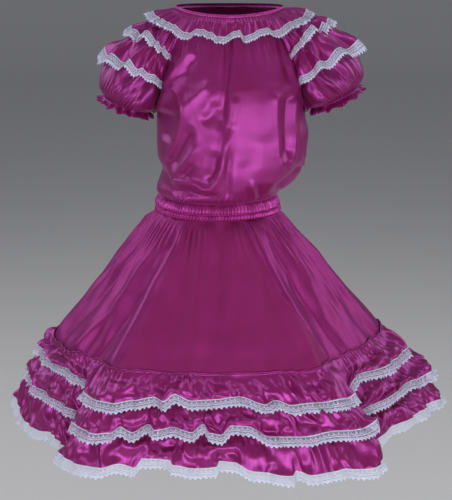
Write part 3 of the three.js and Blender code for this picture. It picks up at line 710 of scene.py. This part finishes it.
def bodice_folds(deg, z):
    p = bodice_base(deg, z)
    x = p[..., 0]
    c = np.cos(deg * RAD)
    front, back = smooth(c, -0.12, 0.16), smooth(-c, -0.12, 0.16)
    h = np.zeros(np.broadcast(deg, z).shape)
    for points, depth, width, fade in FRONT_FOLDS:
        h = h + fold(x, z, points, depth, width, fade, 1.7) * front
    for points, depth, width, fade in BACK_FOLDS:
        h = h + fold(x, z, points, depth, width, fade, 1.8) * back
    middle = smooth(z, 48, 96) * smooth(404 - z, 40, 120)
    # at chest height the cloth bends and hangs nearly straight; above that, it slopes back to the neck
    zz = z - 0.12 * np.maximum(0, np.abs(x - 27) - 70) + 2.5 * np.sin(x / 19.0)
    h = h + (curve(UPRIGHT, "z", "y", zz) - curve(BODICE, "z", "front", zz)) * smooth(c, 0.15, 0.7) * smooth(z, 40, 80)
    h = h + 6.0 * np.exp(-(((np.abs(x - 27) - 78) / 34) ** 2)) * smooth(z, 60, 110) * smooth(-z, -290, -240) * front
    h = h + (0.9 * DRAPE_A(x, z + deg * 0.2) + 0.3 * DRAPE_B(x, z)) * middle * (1 + back)
    h = h + 1.5 * gathers(PUCKER_BODICE(deg + (z - 404) * 0.02)) * smooth(z, 308, 384)
    h = h + 1.3 * gathers(PUCKER_WAIST(deg + (z - 34) * 0.03)) * smooth(-z, -66, -44)
    # in to the seams at the neck and waist
    return h * smooth(z, 33, 44) * (1 - 0.85 * smooth(z, 384, 402))


def bodice_side(front):
    n = 226 if front else 140
    z = np.concatenate([np.linspace(403.7, 60, 170), np.linspace(58, 33.3, 18)])
    s = np.linspace(-1, 1, n)
    S, Z = np.meshgrid(s, z, indexing="ij")
    edge = raglan_edge(Z) - 0.15
    deg = S * edge if front else 180 + S * edge
    h = bodice_folds(deg, Z)
    # flat where it is sewn to the sleeves
    seam = smooth(1 - np.abs(S), 0.0, 0.05)
    h = mix(np.minimum(h, 0.4), h, np.where(Z > UNDERARM, seam, 1))
    P = pushed(bodice_base, deg, Z, h, 0.4, 1.0, 1)
    return P


for node, front in (("bodice_front", True), ("bodice_back", False)):
    P = bodice_side(front)
    ob = cloth(node + "_cloth", P, BODICE_SATIN)
    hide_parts(node)


# ---------------------------------------------------------------- elastic casings
UPPER_RIBS, LOWER_RIBS, NECK_RIBS = ribs(116, 21), ribs(122, 23), ribs(150, 25)
n = 900
d = np.linspace(0, 360, n, endpoint=False)
# waist: two drawn-up channels with a sewn line between them
rows = np.array([33.0, 31.5, 29, 26.5, 24, 21.5, 19, 16.5, 14.2, 12.9, 12.3, 11.7, 10.4, 8.6, 6.6, 4.6, 2.6, 1.2, 0.3])
D, Z = np.meshgrid(d, rows, indexing="ij")
wa, wb = np.interp(Z, [0.3, 18, 33], [127, 124.5, 119]), np.interp(Z, [0.3, 18, 33], [99, 99.5, 95])
top, low = smooth(Z, 12.5, 14.4) * smooth(-Z, -32.8, -30.5), smooth(Z, 0.3, 1.8) * smooth(-Z, -12.0, -10.2)
grow = top * (0.2 + 6.0 * UPPER_RIBS(D + 0.6 * np.sin(Z / 5)) + 1.0 * np.sin((Z - 13) / 20 * math.pi))
grow = grow + low * (0.4 + 7.0 * LOWER_RIBS(D - Z * 0.12))
grow = grow - 0.6 * np.exp(-(((Z - 12.3) / 0.9) ** 2))
P = np.stack([-1.5 + (wa + grow) * np.sin(D * RAD), -(wb + grow) * np.cos(D * RAD), Z + 0.5 * np.sin(D * RAD * 3)], -1)
ob = cloth("waist_casing_cloth", P, SHIRRED_SATIN_PAINTED_LIGHT, wrap=True)
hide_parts("waist_casing")

rows = np.array([8.0, 7.4, 6.4, 5.2, 4.0, 2.8, 1.6, 0.3])
D, U = np.meshgrid(d, rows, indexing="ij")
arch = np.sin(np.clip((U - 0.3) / 7.7, 0, 1) * math.pi)
grow = 0.6 * (1 - U / 8) + arch * (0.6 + 1.9 * NECK_RIBS(D))
P = neck_point(D, U + 0.5 * arch * NECK_RIBS(D + 2), grow)
ob = cloth("neck_casing_cloth", P, SHIRRED_SATIN_PAINTED_LIGHT, wrap=True)
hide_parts("neck_casing")


# ---------------------------------------------------------------- frill at the neck
NECK_LOBES = table(
    "at out drop",
    (-180, 0.7, -4), (-165, -0.8, 4), (-150, 0.9, -4), (-132, -0.6, 3), (-116, 0.8, -2), (-102, -0.8, 2), (-88, 0.6, 0), (-76, -0.6, 1), (-66, 0.5, -2), (-58, -0.3, 2),
    (-50, -0.6, 4), (-41, 1.0, -9), (-36, 0.8, -8), (-30, -1.0, 8), (-24, -0.8, 8), (-18, -0.2, 3), (-10, 0.8, -7), (-5, 0.7, -7), (4.5, -0.7, 7), (9, -0.7, 8), (14, 0.9, -7), (20, 0.3, -2),
    (28, -1.0, 8), (34, -0.8, 8), (41, 1.0, -8), (46, 0.8, -6), (53, -0.9, 5), (66, 0.6, -2), (78, -0.8, 2), (92, 0.8, 0), (106, -0.6, 2), (122, 0.9, -3), (138, -0.8, 3), (152, 0.6, -3),
    (166, -0.6, 3), (180, 0.7, -4),
)
FRILL_MID, FRILL_FINE = waves(31, 20, 30, 6), waves(32, 46, 62, 6)


def ringwise(T, col, deg):
    """A column of an angle table, joined smoothly and repeated round the ring."""
    d = (deg + 180) % 360 - 180
    i = np.clip(np.searchsorted(T["at"], d, side="right") - 1, 0, len(T["at"]) - 2)
    return mix(T[col][i], T[col][i + 1], smooth((d - T["at"][i]) / (T["at"][i + 1] - T["at"][i])))


n = 900
d = np.linspace(0, 360, n, endpoint=False)
share = np.concatenate([np.linspace(0, NECK_SATIN, 19), NECK_SATIN + np.linspace(0, LACE_SMALL, 10)[1:]])
D, S = np.meshgrid(d, share, indexing="ij")
t = S / NECK_SATIN
side = np.abs(np.sin(D * RAD))
lobes = ringwise(NECK_LOBES, "out", D + 1.5 * t * FRILL_MID(D) * 0.3)
h = 9.5 * lobes * smooth(t, 0.1, 1.1) * (1 - 0.25 * side) + 1.5 * FRILL_FINE(D + 5) * smooth(t, 0.9, 1.4)
h = h + 2.4 * gathers(FRILL_MID(D + 2.0 * t)) * smooth(t, 0.05, 0.6) + 1.2 * gathers(FRILL_FINE(D)) * (1 - smooth(t, 0.3, 0.9))
P = pushed(neck_base, D, S, h + 2.0 * smooth(t, 0, 0.3), 0.4, 0.5, -1)
P[..., 2] += 1.1 * ringwise(NECK_LOBES, "drop", D) * smooth(t, 0.2, 1.1)
ob = cloth("neck_ruffle_cloth", P[:, :19], RUFFLE_SATIN, wrap=True)
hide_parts("neck_ruffle")
ob, run = lace("neck_lace_edging", P, (18, 27), "narrow", True, "neck_lace")


# ---------------------------------------------------------------- sleeves
for which, s in SLEEVES.items():
    seed = 40 if which == "left" else 60
    sd = s["side"]
    cuff, puff, slow = waves(seed + 1, 22, 32, 6), waves(seed + 2, 7, 13, 6), waves(seed + 3, 4, 8, 5)
    soft, crisp = crumple(seed + 4, 60, along=1.5), crumple(seed + 8, 95, n=10, along=1.6)
    nu = 420
    u = np.linspace(0, 1, nu, endpoint=False)
    v = np.concatenate([np.linspace(0, 0.86, 62), np.linspace(0.87, 1.0, 20)])
    U, V = np.meshgrid(u, v, indexing="ij")
    deg = U * 360
    # the part between the armhole's seams is only eased in, the outer part is gathered
    outer = smooth(np.cos(U * 2 * math.pi), -0.75, 0.1)
    h = 1.5 * gathers(cuff(deg + 4 * V)) * smooth(V, 0.80, 0.95) * mix(0.45, 1, outer)
    h = h + 2.8 * gathers(puff(deg + 9 * (V - 0.7))) * smooth(V, 0.50, 0.86) * smooth(1 - V, 0.0, 0.2) * mix(0.35, 1, outer)
    h = h + (3.2 * slow(deg + 20 * V) + 2.2 * soft(deg * 1.6, V * 150) - 3.4 * gathers(crisp(deg * 1.6, V * 150), 0.14)) * smooth(V, 0.12, 0.5) * smooth(1 - V, 0.02, 0.3) * mix(0.3, 1, outer)
    h = h + 1.4 * gathers(cuff(deg * 1.0 + 7)) * smooth(0.2 - V, -0.1, 0.16) * outer
    h = h * smooth(V, 0.0, 0.05)
    # the ruffles lie on it above this line, so it stays low there
    under = smooth(0.74 - V, 0.0, 0.2) * smooth(np.cos(U * 2 * math.pi), 0.0, 0.5)
    h = mix(h, np.minimum(h, 1.0) * 0.5, under)
    h = h - 1.6 * np.exp(-(((V - 0.985) / 0.012) ** 2))

    def shape(uu, vv, s=s):
        return sleeve_base(s, uu, np.clip(vv, 0, 1))

    P = pushed(shape, U, V, h, 0.004, 0.01, sd)
    # cuff: a drawn-up channel, then its own small frill
    drop = np.array([0.6, 1.6, 3.0, 4.6, 6.4, 8.4, 10.2, 12.0])
    U2, DR = np.meshgrid(u, drop, indexing="ij")
    ripple, edge = waves(seed + 5, 12, 20, 6), waves(seed + 6, 26, 38, 5)
    f = smooth(DR, 0.0, 12.0)
    flare = 0.4 + CUFF_FLARE * f + 3.6 * ripple(U2 * 360) * f + 1.3 * gathers(edge(U2 * 360)) * smooth(DR, 0.5, 5)
    Q = cuff_point(s, U2, DR + 1.6 * f * waves(seed + 7, 8, 16, 5)(U2 * 360), flare)
    P = np.concatenate([P, Q], 1)
    ob = cloth(f"sleeve_{which}_cloth", P, SLEEVE_SATIN_PAINTED_SHADE, wrap=True, flip=sd > 0)
    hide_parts(f"sleeve_{which}")

    for part, r in SLEEVE_RUFFLES.items():
        seed += 10
        mid, fine, big = waves(seed, 8, 15, 7), waves(seed + 1, 24, 34, 6), waves(seed + 2, 5, 9, 5)
        dents, crisp = crumple(seed + 4, 52, n=12), crumple(seed + 5, 50, n=12, along=1.4)
        nq = 380
        q = np.linspace(-1, 1, nq)
        rows = np.concatenate([np.linspace(0, 1, 22), 1 + np.linspace(0, LACE_SMALL / r["length"], 8)[1:]])
        Q, T = np.meshgrid(q, rows, indexing="ij")
        x = (Q + 1) * 180
        calm = 1 - np.abs(Q) ** 4
        h = 1.5 * gathers(fine(x)) * (1 - smooth(T, 0.25, 0.7)) * smooth(T, 0, 0.06)
        h = h + 2.6 * (gathers(mid(x + 5 * T)) + 0.35) * smooth(T, 0.1, 0.55)
        h = h + 3.4 * big(x + 3 * T) * smooth(T, 0.3, 1.1) + (1.5 * dents(x * 1.2, T * 70) - 2.0 * gathers(crisp(x * 1.2, T * 70), 0.16)) * smooth(T, 0.1, 0.5)
        h = np.maximum(h * calm, mix(-2.2, -5.0, smooth(T, 0.2, 0.9)) * calm - 0.3)

        def ruffle(qq, tt, s=s, r=r):
            return sleeve_ruffle_base(s, r, np.clip(qq, -0.999, 0.999), np.clip(tt, 0, 1.3))

        P = pushed(ruffle, Q * 0.998, T, h, 0.004, 0.01, sd)
        P[..., 2] += 2.6 * waves(seed + 3, 7, 13, 5)(x) * smooth(T, 0.4, 1.1) * calm
        ob = cloth(f"sleeve_ruffle_{part}_{which}_cloth", P[:, :22], RUFFLE_SATIN, flip=sd > 0)
        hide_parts(f"sleeve_ruffle_{part}_{which}")
        ob, run = lace(f"sleeve_lace_{part}_{which}_edging", P if sd < 0 else P, (21, 28), "narrow", False, f"sleeve_lace_{part}_{which}")


# ---------------------------------------------------------------- skirt
# folds that run down the skirt: rows of z, angle, height, half width in millimetres
SKIRT_FOLDS = [
    ([(-26, -33, -3.0, 7), (-89, -39.5, -9, 11), (-134, -42, -10, 13), (-182, -44.5, -10, 14), (-275, -50, -9, 18)], 0),
    ([(-18, -28.5, 3.0, 9), (-70, -31, 6, 14), (-127, -33.5, 8, 18), (-186, -35, 9, 21), (-236, -36.5, 8, 22), (-282, -38.5, 6, 24)], 1),
    ([(-30, -44, 2, 9), (-90, -49, 6, 14), (-150, -53, 8, 18), (-220, -59, 8, 22), (-282, -66, 6, 24)], 0),
    ([(-60, -66, -3, 12), (-140, -72, -7, 18), (-220, -77, -8, 22), (-282, -80, -6, 24)], 0),
    ([(-12, -20, -3, 7), (-44, -20.5, -5, 10), (-84, -20.5, -5, 13), (-150, -21.5, -4, 17), (-215, -21, -2, 22)], 0),
    ([(-14, -9, 3.5, 9), (-60, -9, 4, 13), (-140, -9, 3.5, 18), (-220, -9, 2.0, 24)], 0),
    ([(-12, 2.5, -3.5, 6), (-36, 2.5, -5.5, 8), (-66, 1.2, -5.5, 11), (-121, 0.5, -4.5, 16), (-196, -0.2, -3, 22)], 0),
    ([(-12, 14, 3.5, 9), (-60, 14, 4.5, 14), (-140, 13.5, 4.5, 20), (-230, 12, 3, 28)], 0),
    ([(-10, 24, -3.5, 6), (-30, 24.5, -5.5, 8), (-80, 25, -5.5, 11), (-150, 26.5, -5, 14), (-240, 30, -4, 18)], 0),
    ([(-4, 31.0, 3, 6), (-23, 30.2, 4, 8), (-76, 31.0, 4.5, 10), (-124, 33.0, 5.5, 13), (-178, 36.0, 6.5, 16), (-229, 39.8, 7, 18), (-284, 44.2, 7, 20)], -1),
    ([(-140, 33, 2.5, 8), (-198, 33.8, 5, 10), (-284, 34.8, 6, 12)], 0),
    ([(-20, 42, -4, 8), (-90, 44, -8, 12), (-160, 47, -9, 15), (-280, 53, -6, 18)], 0),
    ([(-40, 56, 3, 11), (-110, 59, 6, 16), (-200, 62, 7, 20), (-280, 65, 5, 24)], 0),
    ([(-50, 71, -4, 8), (-84, 73, -7, 10), (-141, 74, -7, 12), (-205, 75, -5, 14), (-262, 75, -3, 15)], 0),
    ([(-50, 84, 4, 10), (-110, 85, 7, 13), (-205, 86, 7, 17), (-270, 86, 5, 20)], 0),
    # round the back, as none of it shows
    ([(-20, 100, -4, 9), (-100, 104, -8, 14), (-270, 110, -6, 22)], 0), ([(-20, 118, 4, 9), (-110, 120, 7, 15), (-270, 124, 6, 22)], 0),
    ([(-20, 132, -4, 8), (-110, 134, -8, 13), (-270, 138, -6, 20)], 0), ([(-20, 146, 4, 9), (-120, 148, 7, 15), (-270, 151, 6, 22)], 0),
    ([(-20, 161, -4, 8), (-110, 162, -7, 13), (-250, 163, -5, 20)], 0), ([(-20, 176, 4, 9), (-110, 177, 7, 14), (-270, 178, 6, 22)], 0),
    ([(-20, -100, 4, 9), (-100, -104, 7, 15), (-270, -108, 6, 22)], 0), ([(-20, -116, -4, 8), (-110, -120, -8, 13), (-270, -125, -6, 20)], 0),
    ([(-20, -134, 4, 9), (-120, -138, 7, 15), (-270, -143, 6, 22)], 0), ([(-20, -150, -4, 8), (-110, -154, -7, 13), (-260, -158, -5, 20)], 0),
    ([(-20, -166, 4, 9), (-100, -168, 6, 14), (-250, -171, 5, 20)], 0),
]
SKIRT_FINE, SKIRT_MID, SKIRT_SLOW = waves(71, 62, 84, 7), waves(72, 34, 48, 7), waves(73, 17, 27, 7)
SKIRT_SOFT, SKIRT_DENTS = crumple(74, 120, along=2.2), crumple(75, 42, along=1.8)


def skirt_folds(deg, z):
    h = 2.0 * gathers(SKIRT_FINE(deg)) * smooth(z, -52, -6)
    h = h + 2.2 * gathers(SKIRT_MID(deg + z * 0.008)) * smooth(z, -96, -30) * smooth(-z, 2, 26)
    h = h + 1.5 * SKIRT_SLOW(deg + z * 0.01) * smooth(-z, 30, 110)
    for rows, side in SKIRT_FOLDS:
        for turn in (-360, 0, 360):
            near = [(r[0], r[1] + turn, r[2], r[3]) for r in rows]
            if min(abs(r[1]) for r in near) < 200:
                h = h + radial(deg, z, near, side)
    x = deg * 4.6
    h = h + (1.3 * SKIRT_SOFT(x, z) + 0.55 * SKIRT_DENTS(x, z)) * smooth(-z, 20, 90)
    low = smooth(-z, 262, 282)  # under the tiers it stays near its own size
    return mix(h, np.clip(h, -6, 2.0) * 0.5, low) * smooth(-z, 0.0, 6.0)


def panel_edge(which, z):
    a, b = {"front": ("left", "right"), "right": ("right", "back"), "back": ("back", "backleft"), "left": ("backleft", "left")}[which]
    value = lambda k: -curve(SEAMS, "z", "back", z) if k == "backleft" else curve(SEAMS, "z", k, z)
    lo, hi = value(a), value(b)
    return lo, np.where(hi < lo, hi + 360, hi)


z = np.concatenate([np.linspace(-0.3, -40, 26), np.linspace(-43, -290, 84), np.linspace(-298, -376, 12)])
for which, cols in (("front", 150), ("right", 170), ("back", 170), ("left", 170)):
    s = np.linspace(0, 1, cols)
    S, Z = np.meshgrid(s, z, indexing="ij")
    lo, hi = panel_edge(which, Z)
    deg = mix(lo, hi, S)
    wrapped = np.where(deg > 180, deg - 360, deg)
    h = skirt_folds(wrapped, Z)
    # the panel seams are sewn a little tight
    h = h - 1.0 * np.exp(-((np.minimum(S, 1 - S) * (hi - lo) * RAD * 300 / 3.0) ** 2)) * smooth(-Z, 20, 60)
    P = pushed(skirt_base, deg, Z, h, 0.2, 1.0, 1)
    ob = cloth(f"skirt_{which}_cloth", P, PANEL_SATIN if which == "front" else SKIRT_SATIN)
    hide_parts(f"skirt_{which}")
    if which == "front":
        turn = ob.data.attributes.new("turned", "FLOAT", "POINT")
        left, right = (np.interp(-Z, [0, 70, 186, 290], v) for v in ([-26.5, -29.5, -32.0, -34.5], [27.5, 30.0, 35.5, 44.5]))
        turn.data.foreach_set("value", (1 - smooth(deg - left, -0.5, 0.5) + smooth(deg - right, -0.5, 0.5)).astype(np.float32).ravel())


# ---------------------------------------------------------------- tiers
# how far the satin's lower edge stands off its even line, by angle: up, and outward, in millimetres
EDGES = {
    1: table("at up out", (-180, 0, 4), (-160, 5, -6), (-142, -4, 7), (-120, 5, -6), (-100, -3, 4), (-84, -3, 0), (-68, 7, -5), (-56, 2, 0), (-49, -14, 9), (-41, -17, 8),
             (-33, -11, 4), (-27, 0, -3), (-21, 9, -6), (-17.5, 2, 3), (-14.5, 18, -7), (-9.5, 5, 2), (-4, 8, -1), (5, 13, -7), (13, -4, 5), (16, 3, -2), (20.5, -9, 6), (26, -4, 0),
             (32, -4, -3), (40, -16, 6), (47, -22, 10), (57, 18, -6), (70, 6, 4), (84, 0, 0), (100, -12, 6), (120, 5, -6), (142, -4, 6), (162, 5, -5), (180, 0, 4)),
    2: table("at up out", (-180, 2, -4), (-162, -4, 6), (-144, 6, -6), (-122, -5, 7), (-104, 4, -5), (-92, -4, 2), (-84, -14, 5), (-69, -2, -2), (-58, -3, 2), (-48, -24, 9),
             (-36, -19, 7), (-31.5, -10, 2), (-29, 5, -6), (-26, -5, 3), (-21.8, 12, -6), (-20, 1, 2), (-15, 10, -5), (-10, 1, 4), (-6.8, 18, -8), (-5, 0, 3), (-2, -4, 5), (1, 16, -7),
             (5, 14, -5), (11.5, -9, 5), (20, -13, 7), (29, -2, -2), (40, -9, 6), (48, 12, -4), (58, 16, -6), (70, 24, -6), (77, 11, 2), (95, -6, 5), (112, 5, -5), (132, -5, 6),
             (152, 5, -5), (168, -3, 3), (180, 2, -4)),
    3: table("at up out", (-180, -3, 5), (-164, 5, -6), (-148, -5, 6), (-128, 6, -6), (-108, -5, 5), (-94, 0, 0), (-83, -18, 6), (-70, -13, 4), (-64, -3, -3), (-56, -12, 5), (-46, -16, 6),
             (-38, -9, 5), (-32, -8, 3), (-28, 2, -4), (-24, -5, 4), (-21.8, 15, -6), (-17, 18, -6), (-14.4, 17, -3), (-13.6, 8, 5), (-9, 1, 3), (-2.6, 3, 4), (-1.8, 15, -6), (2, 13, -4),
             (7, -5, 2), (16.8, -17, 8), (18, -9, -3), (22, -20, 7), (30, -6, -2), (38, -13, 5), (43, -6, -3), (50, 4, -5), (64, 22, -5), (83, 14, 2), (93, -2, 5), (112, 5, -6), (134, -5, 6), (154, 5, -5),
             (170, -3, 3), (180, -3, 5)),
}
# angle, turn round the skirt and outward push
SWING = table("at turn out", (-180, 0, 0), (-76, 1.0, 0), (-57, 5.5, -9), (-51, 5.0, -10), (-45, -0.8, 9), (-38, 0.2, 6), (-28, 0.6, 0), (22, 0, 0), (34, -1.0, 6), (41, -0.8, 9),
              (46, -6.5, -9), (53, -7.0, -9), (74, -1.0, 0), (180, 0, 0))
for k in (1, 2, 3):
    T_ = TIERS[k]
    end = T_["t"][-1]
    n = 1340
    d = np.linspace(-180, 180, n, endpoint=False)
    ns, nl = 26, 10
    rows = np.concatenate([np.linspace(0, 1, ns) ** 1.15, 1 + np.linspace(0, end - 1, nl)[1:]])
    D, T = np.meshgrid(d, rows, indexing="ij")
    fine, mid, wide, drift = waves(100 + k, 84, 120, 8), waves(110 + k, 30, 56, 9), waves(120 + k, 13, 26, 9), waves(130 + k, 9, 19, 6)
    dents, small, crisp = crumple(140 + k, 72, n=14, along=0.8), crumple(150 + k, 34, n=14, along=1.1), crumple(170 + k, 58, n=12, along=1.5)
    x = D + 1.1 * T * drift(D)
    h = 1.9 * gathers(fine(D + 0.4 * T * drift(D))) * (1 - smooth(T, 0.08, 0.5)) * smooth(T, 0.0, 0.05)
    h = h + 3.2 * (gathers(mid(x)) + 0.1) * smooth(T, 0.04, 0.25) * (1 - 0.6 * smooth(T, 0.35, 0.95))
    h = h + 5.5 * (gathers(wide(x + 1.5 * T), 0.3) - 0.05) * smooth(T, 0.1, 0.7)
    h = h + (2.9 * dents(D * 6.4, T * 55 + D * 2.2) + 1.0 * small(D * 6.4, T * 55 - D * 2.0) - 3.7 * gathers(crisp(D * 6.4 + 9 * small(D * 5, T * 40), T * 58), 0.16)) * smooth(T, 0.12, 0.4) * (1 - 0.5 * smooth(T, 0.9, 1.3))
    big = smooth(T, 0.25, 1.15)
    h = h + ringwise(EDGES[k], "out", D) * big
    h = h + T_["wave"][2] * (0.5 - 0.5 * np.cos(17 * (D + 4) * RAD)) * 0.35 * big

    # the lace ripples more than the satin that it is sewn to
    h = h + 2.2 * waves(160 + k, 50, 90, 7)(D) * smooth(T, 0.92, end)

    def tier(dd, tt, k=k):
        return tier_base(k, dd, np.clip(tt, 0, 1.6))

    # at the two front corners the front part swings out over the side part
    shift = ringwise(SWING, "turn", D) * smooth(T, 0.1, 1.0)
    h = h + ringwise(SWING, "out", D) * smooth(T, 0.1, 0.9)
    P = pushed(tier, D, T, h + 1.2, 0.15, 0.01, -1)
    turn = shift * RAD
    cx = 15.0
    px, py = P[..., 0] - cx, P[..., 1]
    P[..., 0], P[..., 1] = cx + px * np.cos(turn) - py * np.sin(turn), px * np.sin(turn) + py * np.cos(turn)
    P[..., 2] += ringwise(EDGES[k], "up", D) * smooth(T, 0.15, 1.0)
    if k == 1:
        beside = np.exp(-(((np.abs((D + 88 + 180) % 360 - 180)) / 34) ** 2))
        P[..., 2] -= 17.0 * beside * (1 - smooth(T, 0.1, 0.95))
        # the sewn line dips and rises a little with the skirt's folds
        P[..., 2] += 1.6 * waves(150, 9, 21, 6)(D) * (1 - smooth(T, 0.0, 0.6))
        # and lies on the skirt
        sewn_z = P[..., 2]
        on_skirt = pushed(skirt_base, D, sewn_z, skirt_folds(D, sewn_z) + 1.2 + np.maximum(h, 0) * smooth(T, 0, 0.1), 0.2, 1.0, 1)
        P = mix(on_skirt, P, smooth(T, 0.28 * beside, 0.62 + 0.40 * beside)[..., None])
    P[..., 2] = np.maximum(P[..., 2], HEM_LEVEL - 20.0)
    sheet = P[:, :ns]
    if k == 1:
        # its top is turned over into a fine roll along the sewn line
        line = P[:, 0] + np.array([0, 0, 1.0]) * (0.7 * waves(151, 60, 110, 6)(d))[:, None]
        turn = np.linspace(math.radians(200), math.radians(-70), 8)
        out = np.stack([np.sin(d * RAD), -np.cos(d * RAD), 0 * d], -1)
        roll = line[:, None] + out[:, None] * (1.2 + 1.6 * np.cos(turn))[None, :, None] + np.array([0, 0, 1.0]) * (1.8 + 1.6 * np.sin(turn))[None, :, None]
        sheet = np.concatenate([roll, sheet[:, 1:]], 1)
    ob = cloth(f"tier_{k}_cloth", sheet, RUFFLE_SATIN, wrap=True)
    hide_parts(f"tier_{k}")
    ob, run = lace(f"tier_lace_{k}_edging", P, (ns - 1, ns - 1 + nl - 1), "wide", True, f"tier_lace_{k}")


# ---------------------------------------------------------------- what it rides on
for ob in PIECES:
    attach(ob, "root")


# ---------------------------------------------------------------- floor, light, camera
FLOOR = -1.02
bend, far, side = 3.0, 8.0, 14.0
profile = [(-12.0, 0.0)] + [(far, 0.0)]
profile += [(far + bend * math.sin(a), bend - bend * math.cos(a)) for a in np.linspace(0, math.pi / 2, 24)[1:]]
profile += [(far + bend, 7.0)]
verts = [(sx * side, y, FLOOR + z_) for y, z_ in profile for sx in (-1, 1)]
faces = [(2 * i, 2 * i + 1, 2 * i + 3, 2 * i + 2) for i in range(len(profile) - 1)]
me = bpy.data.meshes.new("floor")
me.from_pydata(verts, [], faces)
me.polygons.foreach_set("use_smooth", [True] * len(faces))
floor = bpy.data.objects.new("floor", me)
bpy.context.scene.collection.objects.link(floor)
me.materials.append(stage_material("floor_pale", 0.62))


def area_light(name, at, aim, size, power, colour=(1, 1, 1)):
    l = bpy.data.lights.new(name, "AREA")
    l.shape = "RECTANGLE"
    l.size, l.size_y = size
    l.energy = power
    l.color = colour
    o = bpy.data.objects.new(name, l)
    o.location = at
    from mathutils import Vector

    o.rotation_euler = (Vector(aim) - Vector(at)).to_track_quat("-Z", "Y").to_euler()
    bpy.context.scene.collection.objects.link(o)
    return o


area_light("left", (-2.3, 0.9, 1.3), (0, 0, 0.0), (1.8, 2.0), 24)
area_light("right", (2.3, 0.7, 1.2), (0, 0, 0.0), (1.8, 2.0), 22)
area_light("front_low", (0.1, -2.5, -0.12), (0.03, 0, 0.16), (1.7, 0.95), 27)
area_light("front_right", (1.75, -1.9, -0.12), (0.05, 0, 0.16), (1.4, 0.95), 17)
area_light("front_left", (-1.75, -1.9, 0.10), (0, 0, 0.10), (0.9, 0.95), 13)
area_light("over", (0.1, 0.3, 2.6), (0, 0, 0), (1.8, 1.4), 4)
area_light("over_left", (-1.25, -0.55, 2.4), (-0.2, 0, -0.2), (0.7, 0.7), 7)
area_light("over_right", (1.25, -0.45, 2.4), (0.25, 0, -0.2), (0.7, 0.7), 7)

world = bpy.data.worlds.new("studio")
world.use_nodes = True
world.node_tree.nodes["Background"].inputs["Color"].default_value = (0.90, 0.91, 1.0, 1)
world.node_tree.nodes["Background"].inputs["Strength"].default_value = 0.24
bpy.context.scene.world = world
bpy.context.scene.view_settings.view_transform = "Standard"

cam = bpy.data.cameras.new("camera")
cam.sensor_fit = "VERTICAL"
cam.sensor_height = 36.0
cam.sensor_width = 36.0 * 452 / 500
cam.lens = 1295 * 36 / 500
cam.clip_end = 60.0
camera = bpy.data.objects.new("camera", cam)
camera.location = (0.016, -2.630, 0.694)
camera.rotation_euler = (math.radians(90 - 16.6), 0, 0)
bpy.context.scene.collection.objects.link(camera)
bpy.context.scene.camera = camera
